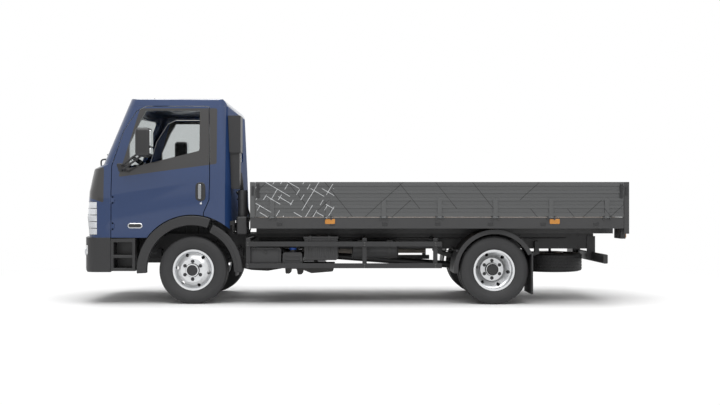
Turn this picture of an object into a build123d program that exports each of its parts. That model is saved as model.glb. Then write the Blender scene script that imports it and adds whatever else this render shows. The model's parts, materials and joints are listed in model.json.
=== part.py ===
from build123d import *
from math import atan2, cos, degrees, radians, sin, sqrt
import os

# A light two-axle truck with a forward tilting cab and a dropside platform.
# Millimetres. X points forward, Y to the truck's left, Z up. The origin is on the
# ground, at the middle of the overall length and width.

os.makedirs("parts", exist_ok=True)

# Overall
overall_length = 6380
front_overhang = 1378
wheelbase = 3470
nose_x = overall_length / 2
tail_x = -overall_length / 2
front_axle_x = nose_x - front_overhang
rear_axle_x = front_axle_x - wheelbase
shut_gap = 8
seat_gap = 0.3

# Tyres and wheels, 225/75 R17.5 on 6.00 inch rims
tyre_radius = 391
tyre_width = 226
tread_width = 192
bead_radius = 222.5
rim_width = 152
flange_radius = 237
flange_width = 8
rim_wall = 8
disc_offset = 116
disc_wall = 11
disc_flat_radius = 138
disc_bore = 80.5
vent_circle = 366
vent_radius = 20
vent_count = 6
hub_radius = 74
hub_reach = 32
drum_radius = 165
axle_height = tyre_radius
front_wheel_y = 828
rear_hub_y = 758
rear_wheel_y = [rear_hub_y - disc_offset - disc_wall, rear_hub_y + disc_offset + disc_wall]

# Axles and steering
kingpin_y = 700
kingpin_radius = 18
pin_clearance = 0.05
spindle_radius = 30
steer_arm = 170
tie_rod_radius = 13
tie_end_height = 34
tie_end_radius = 19
tie_pin_radius = 9
beam_height = 76
beam_width = 80
rear_tube_radius = 62
rear_spindle_radius = 38
diff_radius = 188

# Ladder frame
rail_outer_y = 400
rail_flange = 60
rail_wall = 7
rail_bottom_z = 618
rail_top_z = 800
rail_front_x = 2810
rail_rear_x = -2930
cross_wall = 8
cross_depth = 90

# Cab body
cab_half_width = 1022
cab_rear_x = 1362
cab_bottom_z = 768
cab_wall = 50
cab_top_z = 2402
roof_split_z = 2284
rear_wall_bottom_z = 960
side_split_x = 1432
side_split_y = 850
roof_shoulder = 110
side_lean = 0.082
crease_front_z = 1275
crease_slope = 0.172
plan_radius = 3000
corner_radius = 165
rear_corner_radius = 120
rear_lean = 0.037
door_front_x = 2736
door_rear_x = 1618
door_top_z = roof_split_z - shut_gap
glass_depth = 10
glass_thickness = 6
cowl_z = 1612

# Wheel arch of the cab
arch_radius = 640
flare_outer = 628
flare_inner = 520
flare_y = 950
flare_reach = 85
house_radius = 585
house_wall = 25
shelf_z = axle_height + house_radius - house_wall / 2
shelf_wall = 45

# Cab floor
footwell_z = 815
floor_wall = 40
hump_half_width = 440
hump_wall = 30
hump_top_z = 1100
floor_half_width = 950

# Cab tilt pivot, near the front end of the rails
tilt_x = 2760
tilt_z = 700
pivot_radius = 14
pivot_length = 62
ear_gap = 12

# Bumper and steps
bumper_bottom_z = 373
bumper_rear_x = 2745
bumper_wall = 60
step_rear_x = 2461
step_bottom_z = 385
step_inner_y = 760
step_outer_y = 1012

# Platform
bed_half_width = 1100
bed_front_x = 1136
side_wall = 30
side_height = 398
side_gap = 6
post_width = 62
rave_height = 123
rave_wall = 36
rave_outer_y = bed_half_width - 8
floor_top_z = 1000
floor_thickness = 30
runner_height = 78
runner_width = 70
cross_beam_count = 9
cross_beam_width = 55
hinge_drop = 4
hinge_radius = 10
bed_rear_x = tail_x + hinge_drop + hinge_radius
hinge_pin_radius = 5
hinge_leaf = 6
side_hinge_count = 7
tail_hinge_count = 4
end_hinge_inset = 190


def block(low, high, mode=Mode.ADD):
    """Adds or cuts a box between two corners."""
    centre = [(a + b) / 2 for a, b in zip(low, high)]
    with Locations(tuple(centre)):
        return Box(*[abs(b - a) for a, b in zip(low, high)], mode=mode)


def rod(start, end, radius, mode=Mode.ADD):
    """Adds or cuts a round bar from one point to another."""
    a, b = Vector(*start), Vector(*end)
    with Locations(Plane(origin=(a + b) * 0.5, z_dir=(b - a).normalized())):
        return Cylinder(radius, (b - a).length, mode=mode)


def side_block(side, low, high, mode=Mode.ADD):
    """A box given for the left side, put on the left (1) or the right (-1)."""
    y_low, y_high = sorted((side * low[1], side * high[1]))
    return block((low[0], y_low, low[2]), (high[0], y_high, high[2]), mode)


def side_rod(side, start, end, radius, mode=Mode.ADD):
    """A round bar given for the left side, put on the left (1) or the right (-1)."""
    a = (start[0], side * start[1], start[2])
    b = (end[0], side * end[1], end[2])
    return rod(a, b, radius, mode)


def side_prism(points, y_low, y_high, round_by=0):
    """A prism across the truck from an outline in X and Z."""
    with BuildPart() as prism:
        with BuildSketch(Plane.XZ.offset(-y_low)) as outline:
            Polygon(*points, align=None)
            if round_by:
                fillet(outline.vertices(), round_by)
        extrude(amount=-(y_high - y_low))
    return prism.part


def ring_sector(axle_x, inner, outer, start, end, y_low, y_high):
    """Part of a ring about an axle, from one angle to another over the top."""
    with BuildPart() as sector:
        with BuildSketch(Plane.XZ.offset(-y_low)) as outline:
            with BuildLine():
                near = [(inner * cos(radians(a)), inner * sin(radians(a))) for a in (start, end)]
                far = [(outer * cos(radians(a)), outer * sin(radians(a))) for a in (start, end)]
                half = radians((start + end) / 2)
                Line(near[0], far[0])
                ThreePointArc(far[0], (outer * cos(half), outer * sin(half)), far[1])
                Line(far[1], near[1])
                ThreePointArc(near[1], (inner * cos(half), inner * sin(half)), near[0])
            make_face()
        extrude(amount=-(y_high - y_low))
    return Pos(axle_x, 0, axle_height) * sector.part


def wheel_plane(x, y, z=axle_height):
    """Local X runs along the axle towards the left, local Y is the radius."""
    return Plane(origin=(x, y, z), x_dir=(0, 1, 0), z_dir=(1, 0, 0))


def tyre_ring(plane, axis):
    """One tyre about its axis, closed where the rim closes it."""
    half = tyre_width / 2
    seat = rim_width / 2 - seat_gap
    with BuildPart() as ring:
        with BuildSketch(plane):
            with BuildLine():
                side = [
                    (seat, bead_radius + seat_gap),
                    (seat, flange_radius + seat_gap),
                    (seat + flange_width + 6, flange_radius + 12),
                ]
                belly = (half, (tyre_radius + flange_radius) / 2)
                shoulder = (tread_width / 2 + 7, tyre_radius - 14)
                crown = (tread_width / 2 - 6, tyre_radius)
                for sign in (1, -1):
                    Polyline(*[(sign * a, b) for a, b in side])
                    ThreePointArc(
                        (sign * side[-1][0], side[-1][1]),
                        (sign * belly[0], belly[1]),
                        (sign * shoulder[0], shoulder[1]),
                    )
                    Line((sign * shoulder[0], shoulder[1]), (sign * crown[0], crown[1]))
                Line((-crown[0], crown[1]), crown)
                Line((-side[0][0], side[0][1]), side[0])
            make_face()
        revolve(axis=axis)
    return ring.part


def rim_shape(plane, axis, out):
    """One rim with its dished disc. The disc lies towards out, 1 or -1 along local X."""
    half = rim_width / 2
    base = bead_radius - rim_wall
    with BuildPart() as rim:
        with BuildSketch(plane):
            with BuildLine():
                Polyline(
                    (-half - flange_width, flange_radius),
                    (-half, flange_radius),
                    (-half, bead_radius),
                    (half, bead_radius),
                    (half, flange_radius),
                    (half + flange_width, flange_radius),
                    (half + flange_width, base),
                    (-half - flange_width, base),
                    close=True,
                )
            make_face()
            face = disc_offset
            with BuildLine():
                Polyline(
                    (out * face, disc_bore),
                    (out * (face + disc_wall), disc_bore),
                    (out * (face + disc_wall), disc_flat_radius),
                    (out * (face - 18), disc_flat_radius + 38),
                    (out * (half - 12), base - 3),
                    (out * (half - 12), base + 2),
                    (out * (half - 30), base + 2),
                    (out * (half - 26), base - 8),
                    (out * (face - 32), disc_flat_radius + 32),
                    (out * face, disc_flat_radius - 4),
                    close=True,
                )
            make_face()
        revolve(axis=axis)
    return rim.part


def vent_holes(x, y_low, y_high):
    """Cutters for the disc's vent holes."""
    with BuildPart() as cutters:
        for index in range(vent_count):
            angle = radians(8.6 + index * 360 / vent_count)
            at = (x + vent_circle / 2 * cos(angle), axle_height + vent_circle / 2 * sin(angle))
            rod((at[0], y_low, at[1]), (at[0], y_high, at[1]), vent_radius)
    return cutters.part


# Wheels
axle_axes = {
    x: Axis((x, 0, axle_height), (0, 1, 0)) for x in (front_axle_x, rear_axle_x)
}
for side, side_name in ((1, "left"), (-1, "right")):
    axis = axle_axes[front_axle_x]
    with BuildPart() as tyre:
        add(tyre_ring(wheel_plane(front_axle_x, side * front_wheel_y), axis))
    tyre.part.label = f"tyre_front_{side_name}"
    export_step(tyre.part, f"parts/tyre_front_{side_name}.step")

    # the hub and brake drum turn with the wheel, about the spindle
    hub_face_y = front_wheel_y + disc_offset
    with BuildPart() as wheel:
        add(rim_shape(wheel_plane(front_axle_x, side * front_wheel_y), axis, side))
        add(vent_holes(front_axle_x, -side * 20, side * hub_face_y * 1.1), mode=Mode.SUBTRACT)
        inner_y = kingpin_y + 74
        side_rod(side, (front_axle_x, inner_y, axle_height),
                 (front_axle_x, hub_face_y + disc_wall + hub_reach, axle_height), hub_radius)
        side_rod(side, (front_axle_x, hub_face_y - 14, axle_height),
                 (front_axle_x, hub_face_y, axle_height), disc_flat_radius - 8)
        side_rod(side, (front_axle_x, inner_y, axle_height),
                 (front_axle_x, hub_face_y - 30, axle_height), drum_radius)
        side_rod(side, (front_axle_x, inner_y - 1, axle_height),
                 (front_axle_x, hub_face_y + disc_wall, axle_height),
                 spindle_radius + pin_clearance, Mode.SUBTRACT)
    wheel.part.label = f"wheel_front_{side_name}"
    export_step(wheel.part, f"parts/wheel_front_{side_name}.step")

for side, side_name in ((1, "left"), (-1, "right")):
    axis = axle_axes[rear_axle_x]
    with BuildPart() as twin_tyres:
        for wheel_y in rear_wheel_y:
            add(tyre_ring(wheel_plane(rear_axle_x, side * wheel_y), axis))
    twin_tyres.part.label = f"tyres_rear_{side_name}"
    export_step(twin_tyres.part, f"parts/tyres_rear_{side_name}.step")

    with BuildPart() as twin_wheels:
        add(rim_shape(wheel_plane(rear_axle_x, side * rear_wheel_y[0]), axis, side))
        add(rim_shape(wheel_plane(rear_axle_x, side * rear_wheel_y[1]), axis, -side))
        add(vent_holes(rear_axle_x, side * 400, side * 1100), mode=Mode.SUBTRACT)
        inner_y = rear_hub_y - 190
        side_rod(side, (rear_axle_x, inner_y, axle_height),
                 (rear_axle_x, rear_hub_y + disc_wall + 2 * hub_reach, axle_height), hub_radius)
        side_rod(side, (rear_axle_x, rear_hub_y - disc_wall - 14, axle_height),
                 (rear_axle_x, rear_hub_y + disc_wall, axle_height), disc_flat_radius - 8)
        side_rod(side, (rear_axle_x, inner_y, axle_height),
                 (rear_axle_x, rear_hub_y - disc_wall - 16, axle_height), drum_radius)
        side_rod(side, (rear_axle_x, inner_y - 1, axle_height),
                 (rear_axle_x, rear_hub_y + disc_wall, axle_height),
                 rear_spindle_radius + pin_clearance, Mode.SUBTRACT)
    twin_wheels.part.label = f"wheels_rear_{side_name}"
    export_step(twin_wheels.part, f"parts/wheels_rear_{side_name}.step")

# Spare wheel, flat under the rear of the frame, disc up
spare_x = -2480
spare_z = 443
spare_plane = Plane(origin=(spare_x, 0, spare_z), x_dir=(0, 0, 1), z_dir=(0, -1, 0))
spare_axis = Axis((spare_x, 0, spare_z), (0, 0, 1))
with BuildPart() as spare_tyre:
    add(tyre_ring(spare_plane, spare_axis))
spare_tyre.part.label = "spare_tyre"
export_step(spare_tyre.part, "parts/spare_tyre.step")
with BuildPart() as spare_rim:
    add(rim_shape(spare_plane, spare_axis, 1))
spare_rim.part.label = "spare_rim"
export_step(spare_rim.part, "parts/spare_rim.step")

# Steering: knuckles on kingpins, and the tie rod between their arms
yoke_radius = 42
yoke_wall = 24
eye_half_height = 45
yoke_gap = 6
slab_y = kingpin_y + 45
arm_end_x = front_axle_x - steer_arm
yoke_inner = eye_half_height + yoke_gap
yoke_outer = yoke_inner + yoke_wall
tie_end_top = axle_height - yoke_outer - seat_gap
tie_end_low = tie_end_top - tie_end_height
tie_rod_z = (tie_end_low + tie_end_top) / 2
for side, side_name in ((1, "left"), (-1, "right")):
    with BuildPart() as knuckle:
        side_rod(side, (front_axle_x, kingpin_y, axle_height - yoke_outer - 8),
                 (front_axle_x, kingpin_y, axle_height + yoke_outer + 8), kingpin_radius)
        for low in (-yoke_outer, yoke_inner):
            z_low = axle_height + low
            side_rod(side, (front_axle_x, kingpin_y, z_low),
                     (front_axle_x, kingpin_y, z_low + yoke_wall), yoke_radius)
            side_block(side, (front_axle_x - 38, kingpin_y, z_low),
                       (front_axle_x + 38, slab_y + 20, z_low + yoke_wall))
        side_block(side, (front_axle_x - 50, slab_y, axle_height - yoke_outer),
                   (front_axle_x + 50, slab_y + 20, axle_height + yoke_outer))
        side_rod(side, (front_axle_x, slab_y, axle_height),
                 (front_axle_x, front_wheel_y + disc_offset, axle_height), spindle_radius)
        side_block(side, (arm_end_x, kingpin_y - 15, axle_height - yoke_outer),
                   (front_axle_x - 20, kingpin_y + 15, axle_height - yoke_inner))
        side_rod(side, (arm_end_x, kingpin_y, axle_height - yoke_outer),
                 (arm_end_x, kingpin_y, axle_height - yoke_inner), 24)
        side_rod(side, (arm_end_x, kingpin_y, tie_end_low + 2),
                 (arm_end_x, kingpin_y, axle_height - yoke_inner), tie_pin_radius)
    knuckle.part.label = f"knuckle_{side_name}"
    export_step(knuckle.part, f"parts/knuckle_{side_name}.step")

with BuildPart() as tie_rod:
    rod((arm_end_x, kingpin_y, tie_rod_z), (arm_end_x, -kingpin_y, tie_rod_z), tie_rod_radius)
    for side in (1, -1):
        side_rod(side, (arm_end_x, kingpin_y, tie_end_low),
                 (arm_end_x, kingpin_y, tie_end_top), tie_end_radius)
        side_rod(side, (arm_end_x, kingpin_y, tie_end_low - 1),
                 (arm_end_x, kingpin_y, tie_end_top + 1), tie_pin_radius + pin_clearance,
                 Mode.SUBTRACT)
tie_rod.part.label = "tie_rod"
export_step(tie_rod.part, "parts/tie_rod.step")

# Front axle: a dropped beam with an eye for each kingpin
drop = 36
with BuildPart() as front_axle:
    with BuildSketch(Plane.YZ.offset(front_axle_x - beam_width / 2)):
        top = axle_height + beam_height / 2
        with BuildLine():
            Polyline(
                (-kingpin_y, top),
                (-kingpin_y + 90, top),
                (-kingpin_y + 190, top - drop),
                (kingpin_y - 190, top - drop),
                (kingpin_y - 90, top),
                (kingpin_y, top),
                (kingpin_y, top - beam_height),
                (kingpin_y - 90, top - beam_height),
                (kingpin_y - 190, top - beam_height - drop),
                (-kingpin_y + 190, top - beam_height - drop),
                (-kingpin_y + 90, top - beam_height),
                (-kingpin_y, top - beam_height),
                close=True,
            )
        make_face()
    extrude(amount=beam_width)
    for side in (1, -1):
        # the beam stops round the kingpin's eye
        side_block(side, (front_axle_x - beam_width, kingpin_y - 20, axle_height - 60),
                   (front_axle_x + beam_width, kingpin_y + 40, axle_height + 60), Mode.SUBTRACT)
        side_rod(side, (front_axle_x, kingpin_y, axle_height - eye_half_height),
                 (front_axle_x, kingpin_y, axle_height + eye_half_height), 37)
        side_rod(side, (front_axle_x, kingpin_y, axle_height - 60),
                 (front_axle_x, kingpin_y, axle_height + 60), kingpin_radius + pin_clearance,
                 Mode.SUBTRACT)
front_axle.part.label = "front_axle"
export_step(front_axle.part, "parts/front_axle.step")

# Rear axle: tube, spindles, backing plates and the final drive's housing
diff_nose_x = rear_axle_x + 235
rear_tube_end_y = rear_hub_y - 196
with BuildPart() as rear_axle:
    rod((rear_axle_x, -rear_tube_end_y, axle_height),
        (rear_axle_x, rear_tube_end_y, axle_height), rear_tube_radius)
    rod((rear_axle_x, -rear_hub_y, axle_height),
        (rear_axle_x, rear_hub_y, axle_height), rear_spindle_radius)
    for side in (1, -1):
        side_rod(side, (rear_axle_x, rear_tube_end_y - 34, axle_height),
                 (rear_axle_x, rear_tube_end_y - 26, axle_height), drum_radius)
    with Locations((rear_axle_x, 0, axle_height)):
        Sphere(diff_radius)
    block((rear_axle_x - diff_radius - 5, 80, 0), (rear_axle_x + diff_radius + 5, 300, 800),
          Mode.SUBTRACT)
    block((rear_axle_x - diff_radius - 5, -300, 0), (rear_axle_x + diff_radius + 5, -80, 800),
          Mode.SUBTRACT)
    rod((rear_axle_x, -rear_tube_end_y, axle_height),
        (rear_axle_x, rear_tube_end_y, axle_height), rear_tube_radius)
    rod((rear_axle_x, 0, axle_height), (diff_nose_x, 0, axle_height), 70)
rear_axle.part.label = "rear_axle"
export_step(rear_axle.part, "parts/rear_axle.step")

# Leaf springs, two to an axle, with hangers up to the frame
spring_width = 70
spring_wall = 42
front_spring_y = (rail_outer_y - 10 - spring_width / 2, rail_outer_y - 10 + spring_width / 2)
rear_spring_y = (rail_outer_y + seat_gap, rail_outer_y + seat_gap + spring_width)
spring_table = [
    # axle, half length, underside at the axle, underside at the eyes, inner Y, outer Y
    (front_axle_x, 520, axle_height + beam_height / 2 - drop + seat_gap, 520, *front_spring_y),
    (rear_axle_x, 610, axle_height + rear_tube_radius + seat_gap, 560, *rear_spring_y),
]
with BuildPart() as leaf_springs:
    for axle_x, half, seat_z, eye_z, inner_y, outer_y in spring_table:
        for side in (1, -1):
            y_low, y_high = sorted((side * inner_y, side * outer_y))
            with BuildSketch(Plane.XZ.offset(-y_low)):
                with BuildLine():
                    ends = [(axle_x - half, eye_z), (axle_x, seat_z), (axle_x + half, eye_z)]
                    upper = [(x, z + spring_wall) for x, z in ends]
                    ThreePointArc(*ends)
                    Line(ends[2], upper[2])
                    ThreePointArc(*upper)
                    Line(upper[0], ends[0])
                make_face()
            extrude(amount=-(y_high - y_low))
            for direction in (-1, 1):
                hanger_x = axle_x + direction * (half - 30)
                if outer_y > rail_outer_y + spring_width / 2:
                    top_z = rail_bottom_z + 90
                else:
                    top_z = rail_bottom_z - seat_gap
                side_block(side, (hanger_x - 26, inner_y, eye_z + spring_wall / 2),
                           (hanger_x + 26, outer_y, top_z))
leaf_springs.part.label = "leaf_springs"
export_step(leaf_springs.part, "parts/leaf_springs.step")

# Ladder frame: two channels with the cab's pivot pins and the cab rest, and the cross
# members between their webs. The rearmost one has the coupling's bolt pattern.
cross_table = [rail_front_x - 45, 780, -250, rear_axle_x + 700, spare_x]
cross_low_z = rail_bottom_z + 24
cross_high_z = cross_low_z + 134
rail_inner_y = rail_outer_y - rail_flange
web_y = rail_outer_y - rail_wall
cross_half = web_y - seat_gap
cab_rest_x = cab_rear_x + 62
rear_plate_wall = 10
bolt_pattern = (160, 100)
bolt_radius = 8.5
rear_pattern_z = (rail_bottom_z + rail_top_z) / 2
carrier_top = spare_z + disc_offset - seat_gap
with BuildPart() as cross_members:
    for x in cross_table:
        block((x - cross_depth / 2, -cross_half, cross_low_z), (x + cross_depth / 2, cross_half, cross_high_z))
        block((x - cross_depth / 2 - 1, -cross_half - 1, cross_low_z + cross_wall),
              (x + cross_depth / 2 - cross_wall, cross_half + 1, cross_high_z - cross_wall),
              Mode.SUBTRACT)
    block((rail_rear_x, -cross_half, rail_bottom_z + rail_wall + seat_gap),
          (rail_rear_x + rear_plate_wall, cross_half, rail_top_z - rail_wall - seat_gap))
    for y in (-1, 1):
        for z in (-1, 1):
            at = (y * bolt_pattern[0] / 2, rear_pattern_z + z * bolt_pattern[1] / 2)
            rod((rail_rear_x - 10, *at), (rail_rear_x + 30, *at), bolt_radius, Mode.SUBTRACT)
    # carrier of the spare wheel
    rod((spare_x, 0, carrier_top - 12), (spare_x, 0, cross_low_z + 4), 16)
    rod((spare_x, 0, carrier_top - 12), (spare_x, 0, carrier_top), disc_flat_radius - 20)
with BuildPart() as ladder_frame:
    for side in (1, -1):
        side_block(side, (rail_rear_x, rail_inner_y, rail_bottom_z),
                   (rail_front_x, rail_outer_y, rail_top_z))
        side_block(side, (rail_rear_x - 1, rail_inner_y - 1, rail_bottom_z + rail_wall),
                   (rail_front_x + 1, web_y, rail_top_z - rail_wall), Mode.SUBTRACT)
        side_rod(side, (tilt_x, web_y, tilt_z), (tilt_x, rail_outer_y + pivot_length, tilt_z),
                 pivot_radius)
        side_block(side, (cab_rest_x, rail_inner_y, rail_top_z),
                   (cab_rest_x + 50, rail_outer_y, shelf_z - seat_gap))
        side_block(side, (cab_rest_x, rail_inner_y, shelf_z - 62),
                   (cab_rest_x + 50, hump_half_width + 200, shelf_z - seat_gap))
    add(cross_members.part)
ladder_frame.part.label = "ladder_frame"
export_step(ladder_frame.part, "parts/ladder_frame.step")

# Towing lugs under the rails' front ends, for a pin put in from below
tow_lug_x = rail_front_x + 34
tow_lug_y = (rail_inner_y + web_y) / 2
tow_lug_height = 30
tow_lug_low_z = rail_bottom_z - seat_gap - tow_lug_height
tow_eye_radius = 15
with BuildPart() as tow_lugs:
    for side in (1, -1):
        side_block(side, (rail_front_x - 60, rail_inner_y, tow_lug_low_z),
                   (tow_lug_x + 26, web_y - seat_gap, tow_lug_low_z + tow_lug_height))
        side_rod(side, (tow_lug_x, tow_lug_y, tow_lug_low_z - 1),
                 (tow_lug_x, tow_lug_y, tow_lug_low_z + tow_lug_height + 1), tow_eye_radius,
                 Mode.SUBTRACT)
tow_lugs.part.label = "tow_lugs"
export_step(tow_lugs.part, "parts/tow_lugs.step")

# Engine and gearbox as one plain block, with its mounts in the rails
engine_x = (1475, 2600)
engine_z = (486, 1020)
engine_half_width = 298
gearbox_rear_x = 850
gearbox_half_width = 175
gearbox_z = (490, 780)
with BuildPart() as engine:
    block((engine_x[0], -engine_half_width, engine_z[0]), (engine_x[1], engine_half_width, engine_z[1]))
    chamfer(engine.edges().filter_by(Axis.X), 70)
    block((gearbox_rear_x, -gearbox_half_width, gearbox_z[0]),
          (engine_x[0], gearbox_half_width, gearbox_z[1]))
    for x in (engine_x[0] + 250, engine_x[1] - 180):
        block((x - 40, -web_y + seat_gap, rail_bottom_z + 60),
              (x + 40, web_y - seat_gap, rail_bottom_z + 120))
engine.part.label = "engine"
export_step(engine.part, "parts/engine.step")

# Radiator between the rails
with BuildPart() as radiator:
    radiator_half = rail_inner_y - seat_gap
    block((2655, -radiator_half, 470), (2715, radiator_half, cross_low_z - 6))
    block((2640, -radiator_half, cross_low_z - 6), (2700, radiator_half, 950))
radiator.part.label = "radiator"
export_step(radiator.part, "parts/radiator.step")

# Propeller shaft from the gearbox to the final drive
shaft_start_z = 560
flange_length = 34
with BuildPart() as prop_shaft:
    start = (gearbox_rear_x - seat_gap, 0, shaft_start_z)
    end = (diff_nose_x + seat_gap, 0, axle_height)
    rod(start, (start[0] - flange_length, 0, start[2]), 62)
    rod((end[0] + flange_length, 0, end[2]), end, 62)
    rod((start[0] - flange_length / 2, 0, start[2]), (end[0] + flange_length / 2, 0, end[2]), 42)
prop_shaft.part.label = "prop_shaft"
export_step(prop_shaft.part, "parts/prop_shaft.step")

# Cab body form. Each level has its own front line: height, nose at the centre.
cab_levels = [
    (cab_bottom_z, 3150),
    (1010, 3172),
    (1300, 3150),
    (cowl_z - 52, 3088),
    (cowl_z, 2985),
    (cab_top_z + 20, 2638),
]


def rear_line(height):
    """Where the cab's rear wall stands at a height."""
    return cab_rear_x + rear_lean * max(0, height - cab_bottom_z)


def plan_outline(height, nose, inset):
    """One level of the cab in plan, drawn on its own plane."""
    crease_rear_z = crease_front_z + (door_front_x - cab_rear_x) * crease_slope
    lean = side_lean * max(0, height - crease_rear_z)
    half_width = cab_half_width - lean + 1 - inset
    sag = plan_radius - sqrt(plan_radius**2 - half_width**2)
    front = nose - inset
    rear = rear_line(height) + inset
    with BuildSketch(Plane.XY.offset(height)) as level:
        with BuildLine():
            Polyline(
                (front - sag, -half_width),
                (rear, -half_width),
                (rear, half_width),
                (front - sag, half_width),
            )
            ThreePointArc((front - sag, half_width), (front, 0), (front - sag, -half_width))
        make_face()
        fillet(level.vertices().group_by(Axis.X)[-1], corner_radius - inset / 2)
        fillet(level.vertices().group_by(Axis.X)[0], rear_corner_radius - inset)
    return level.sketch


def roof_outline(inset):
    """Front view of the roof: crowned, with round shoulders."""
    half_width = cab_half_width + 30 - inset
    top = cab_top_z - inset
    crown = 45
    with BuildSketch(Plane.YZ.offset(1000)) as outline:
        with BuildLine():
            Polyline(
                (half_width, top - crown),
                (half_width, 400),
                (-half_width, 400),
                (-half_width, top - crown),
            )
            ThreePointArc((half_width, top - crown), (0, top), (-half_width, top - crown))
        make_face()
        shoulders = outline.vertices().group_by(Axis.Y)[-1]
        fillet(shoulders, roof_shoulder * 1.6 - inset)
    return outline.sketch


def cab_form(inset):
    """The cab's outer skin moved inwards by the inset, as one solid."""
    # waistline crease that rises to the rear, with the windows leaning in above it
    tilt = atan2(crease_slope, 1)
    half = cab_half_width - inset
    upper = 1900
    belly = 10
    lower = 900
    behind_x = cab_rear_x - 100
    crease_plane = Plane(
        origin=(behind_x, 0, crease_front_z + (door_front_x - behind_x) * crease_slope),
        x_dir=(0, 1, 0),
        z_dir=(cos(tilt), 0, -sin(tilt)),
    )
    levels = [plan_outline(*level, inset) for level in cab_levels]
    roof = roof_outline(inset)
    top = cab_top_z - inset
    brow = (2738 - inset, top - 200)
    roof_front = (2440 - inset, top - 20)
    roof_rear = (1590, top)
    nape_z = top - 150
    nape = (rear_line(nape_z) + inset - 3, nape_z)
    clear_x = cab_rear_x + inset - 40
    with BuildPart() as form:
        loft(levels, ruled=True)
        # side view: the roof's line and the rear wall
        with BuildSketch(Plane.XZ):
            with BuildLine():
                Polyline(nape, (clear_x, nape_z - 300), (clear_x, 400))
                Polyline((clear_x, 400), (3400, 400), (3400, 1900), brow)
                ThreePointArc(brow, (2640 - inset, top - 80), roof_front)
                ThreePointArc(roof_front, (2050, top), roof_rear)
                ThreePointArc(roof_rear, (nape[0] + 50 - inset * 0.3, top - 42 - inset * 0.1), nape)
            make_face()
        extrude(amount=cab_half_width + 60, both=True, mode=Mode.INTERSECT)
        # front view of the roof
        extrude(roof, amount=2500, mode=Mode.INTERSECT)
        # sides with the crease
        with BuildSketch(crease_plane):
            Polygon(
                (half, 0),
                (half - belly, -250),
                (half - 4, -lower),
                (-half + 4, -lower),
                (-half + belly, -250),
                (-half, 0),
                (-half + side_lean * upper, upper),
                (half - side_lean * upper, upper),
                align=None,
            )
        extrude(amount=2800, mode=Mode.INTERSECT)
    return form.part


def door_outline(grow):
    """The door in side view, grown all round by the shut gap or not at all."""
    with BuildSketch(Plane.XZ) as outline:
        with BuildLine():
            waist_x = door_front_x - 6
            waist_z = cowl_z - 23
            Polyline(
                (door_rear_x + 8, door_top_z - 9),
                (door_rear_x - 7, 1463),
                (door_rear_x + 2, 1200),
                (door_rear_x + 65, 1056),
                (door_rear_x + 65, sill_z),
                (door_front_x, sill_z),
                (waist_x, waist_z),
                (waist_x - 131, waist_z + 404),
                (waist_x - 280, door_top_z - 51),
                (waist_x - 384, door_top_z),
                (door_rear_x + 60, door_top_z),
                close=True,
            )
        make_face()
        with Locations((front_axle_x, axle_height)):
            Circle(arch_radius, mode=Mode.SUBTRACT)
        if grow:
            offset(amount=grow, kind=Kind.INTERSECTION)
    return outline.sketch


sill_z = cab_bottom_z
outer_form = cab_form(0)
inner_form = cab_form(cab_wall)
with BuildPart() as shell_form:
    add(outer_form)
    add(inner_form, mode=Mode.SUBTRACT)
    with BuildSketch(Plane.XZ):
        with Locations((front_axle_x, axle_height)):
            Circle(arch_radius)
    extrude(amount=cab_half_width + 60, both=True, mode=Mode.SUBTRACT)
cab_shell = shell_form.part
door_face = door_outline(0)
opening_face = door_outline(shut_gap)

with BuildPart() as body_form:
    add(cab_shell)
    extrude(opening_face, amount=cab_half_width + 60, both=True, mode=Mode.SUBTRACT)
    block((0, -1200, roof_split_z), (4000, 1200, 3000), Mode.SUBTRACT)
body_shell = body_form.part
middle_x = (door_front_x + door_rear_x) / 2


# Openings in the front: windscreen, lamps and grille, as outlines in Y and Z
screen_outline = [(-905, 1662), (905, 1662), (850, 2240), (-850, 2240)]
lamp_z = (800, 1180)
lamp_inner_y = 640
lamp_rear_x = 2900
grille_outline = [
    (-930, 1556), (930, 1556), (930, 1420), (600, 1215), (600, 850),
    (-600, 850), (-600, 1215), (-930, 1420),
]
grille_rear_x = 2905
slat_count = 5
slat_height = 44
slat_pitch = 66
slat_low_z = 905
slat_half_width = 520


def shrunk_prism(points, x_low, x_high, gap, round_by):
    """The front prism of an opening, made smaller all round by a gap."""
    with BuildPart() as prism:
        with BuildSketch(Plane.YZ.offset(x_low)) as outline:
            Polygon(*points, align=None)
            fillet(outline.vertices(), round_by)
            if gap:
                offset(amount=-gap)
        extrude(amount=x_high - x_low)
    return prism.part


def lamp_blocks(gap):
    """Where the two headlamps sit, wrapped round the corners."""
    with BuildPart() as lamps:
        for side in (1, -1):
            side_block(side, (lamp_rear_x + gap, lamp_inner_y + gap, lamp_z[0] + gap),
                       (nose_x + 100, cab_half_width + 100, lamp_z[1] - gap))
    return lamps.part


# Door hinges: pins held by lugs on the cab's front panel, knuckles on the doors
door_hinge_x = door_front_x - 3
door_hinge_y = cab_half_width - 3
door_hinge_zs = [900, 1200]
door_knuckle_height = 50
door_knuckle_radius = 6
door_pin_radius = 3.5
door_lug_height = 14
door_lug_gap = 2
door_lug_depth = 19
door_notch_radius = 24

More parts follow.
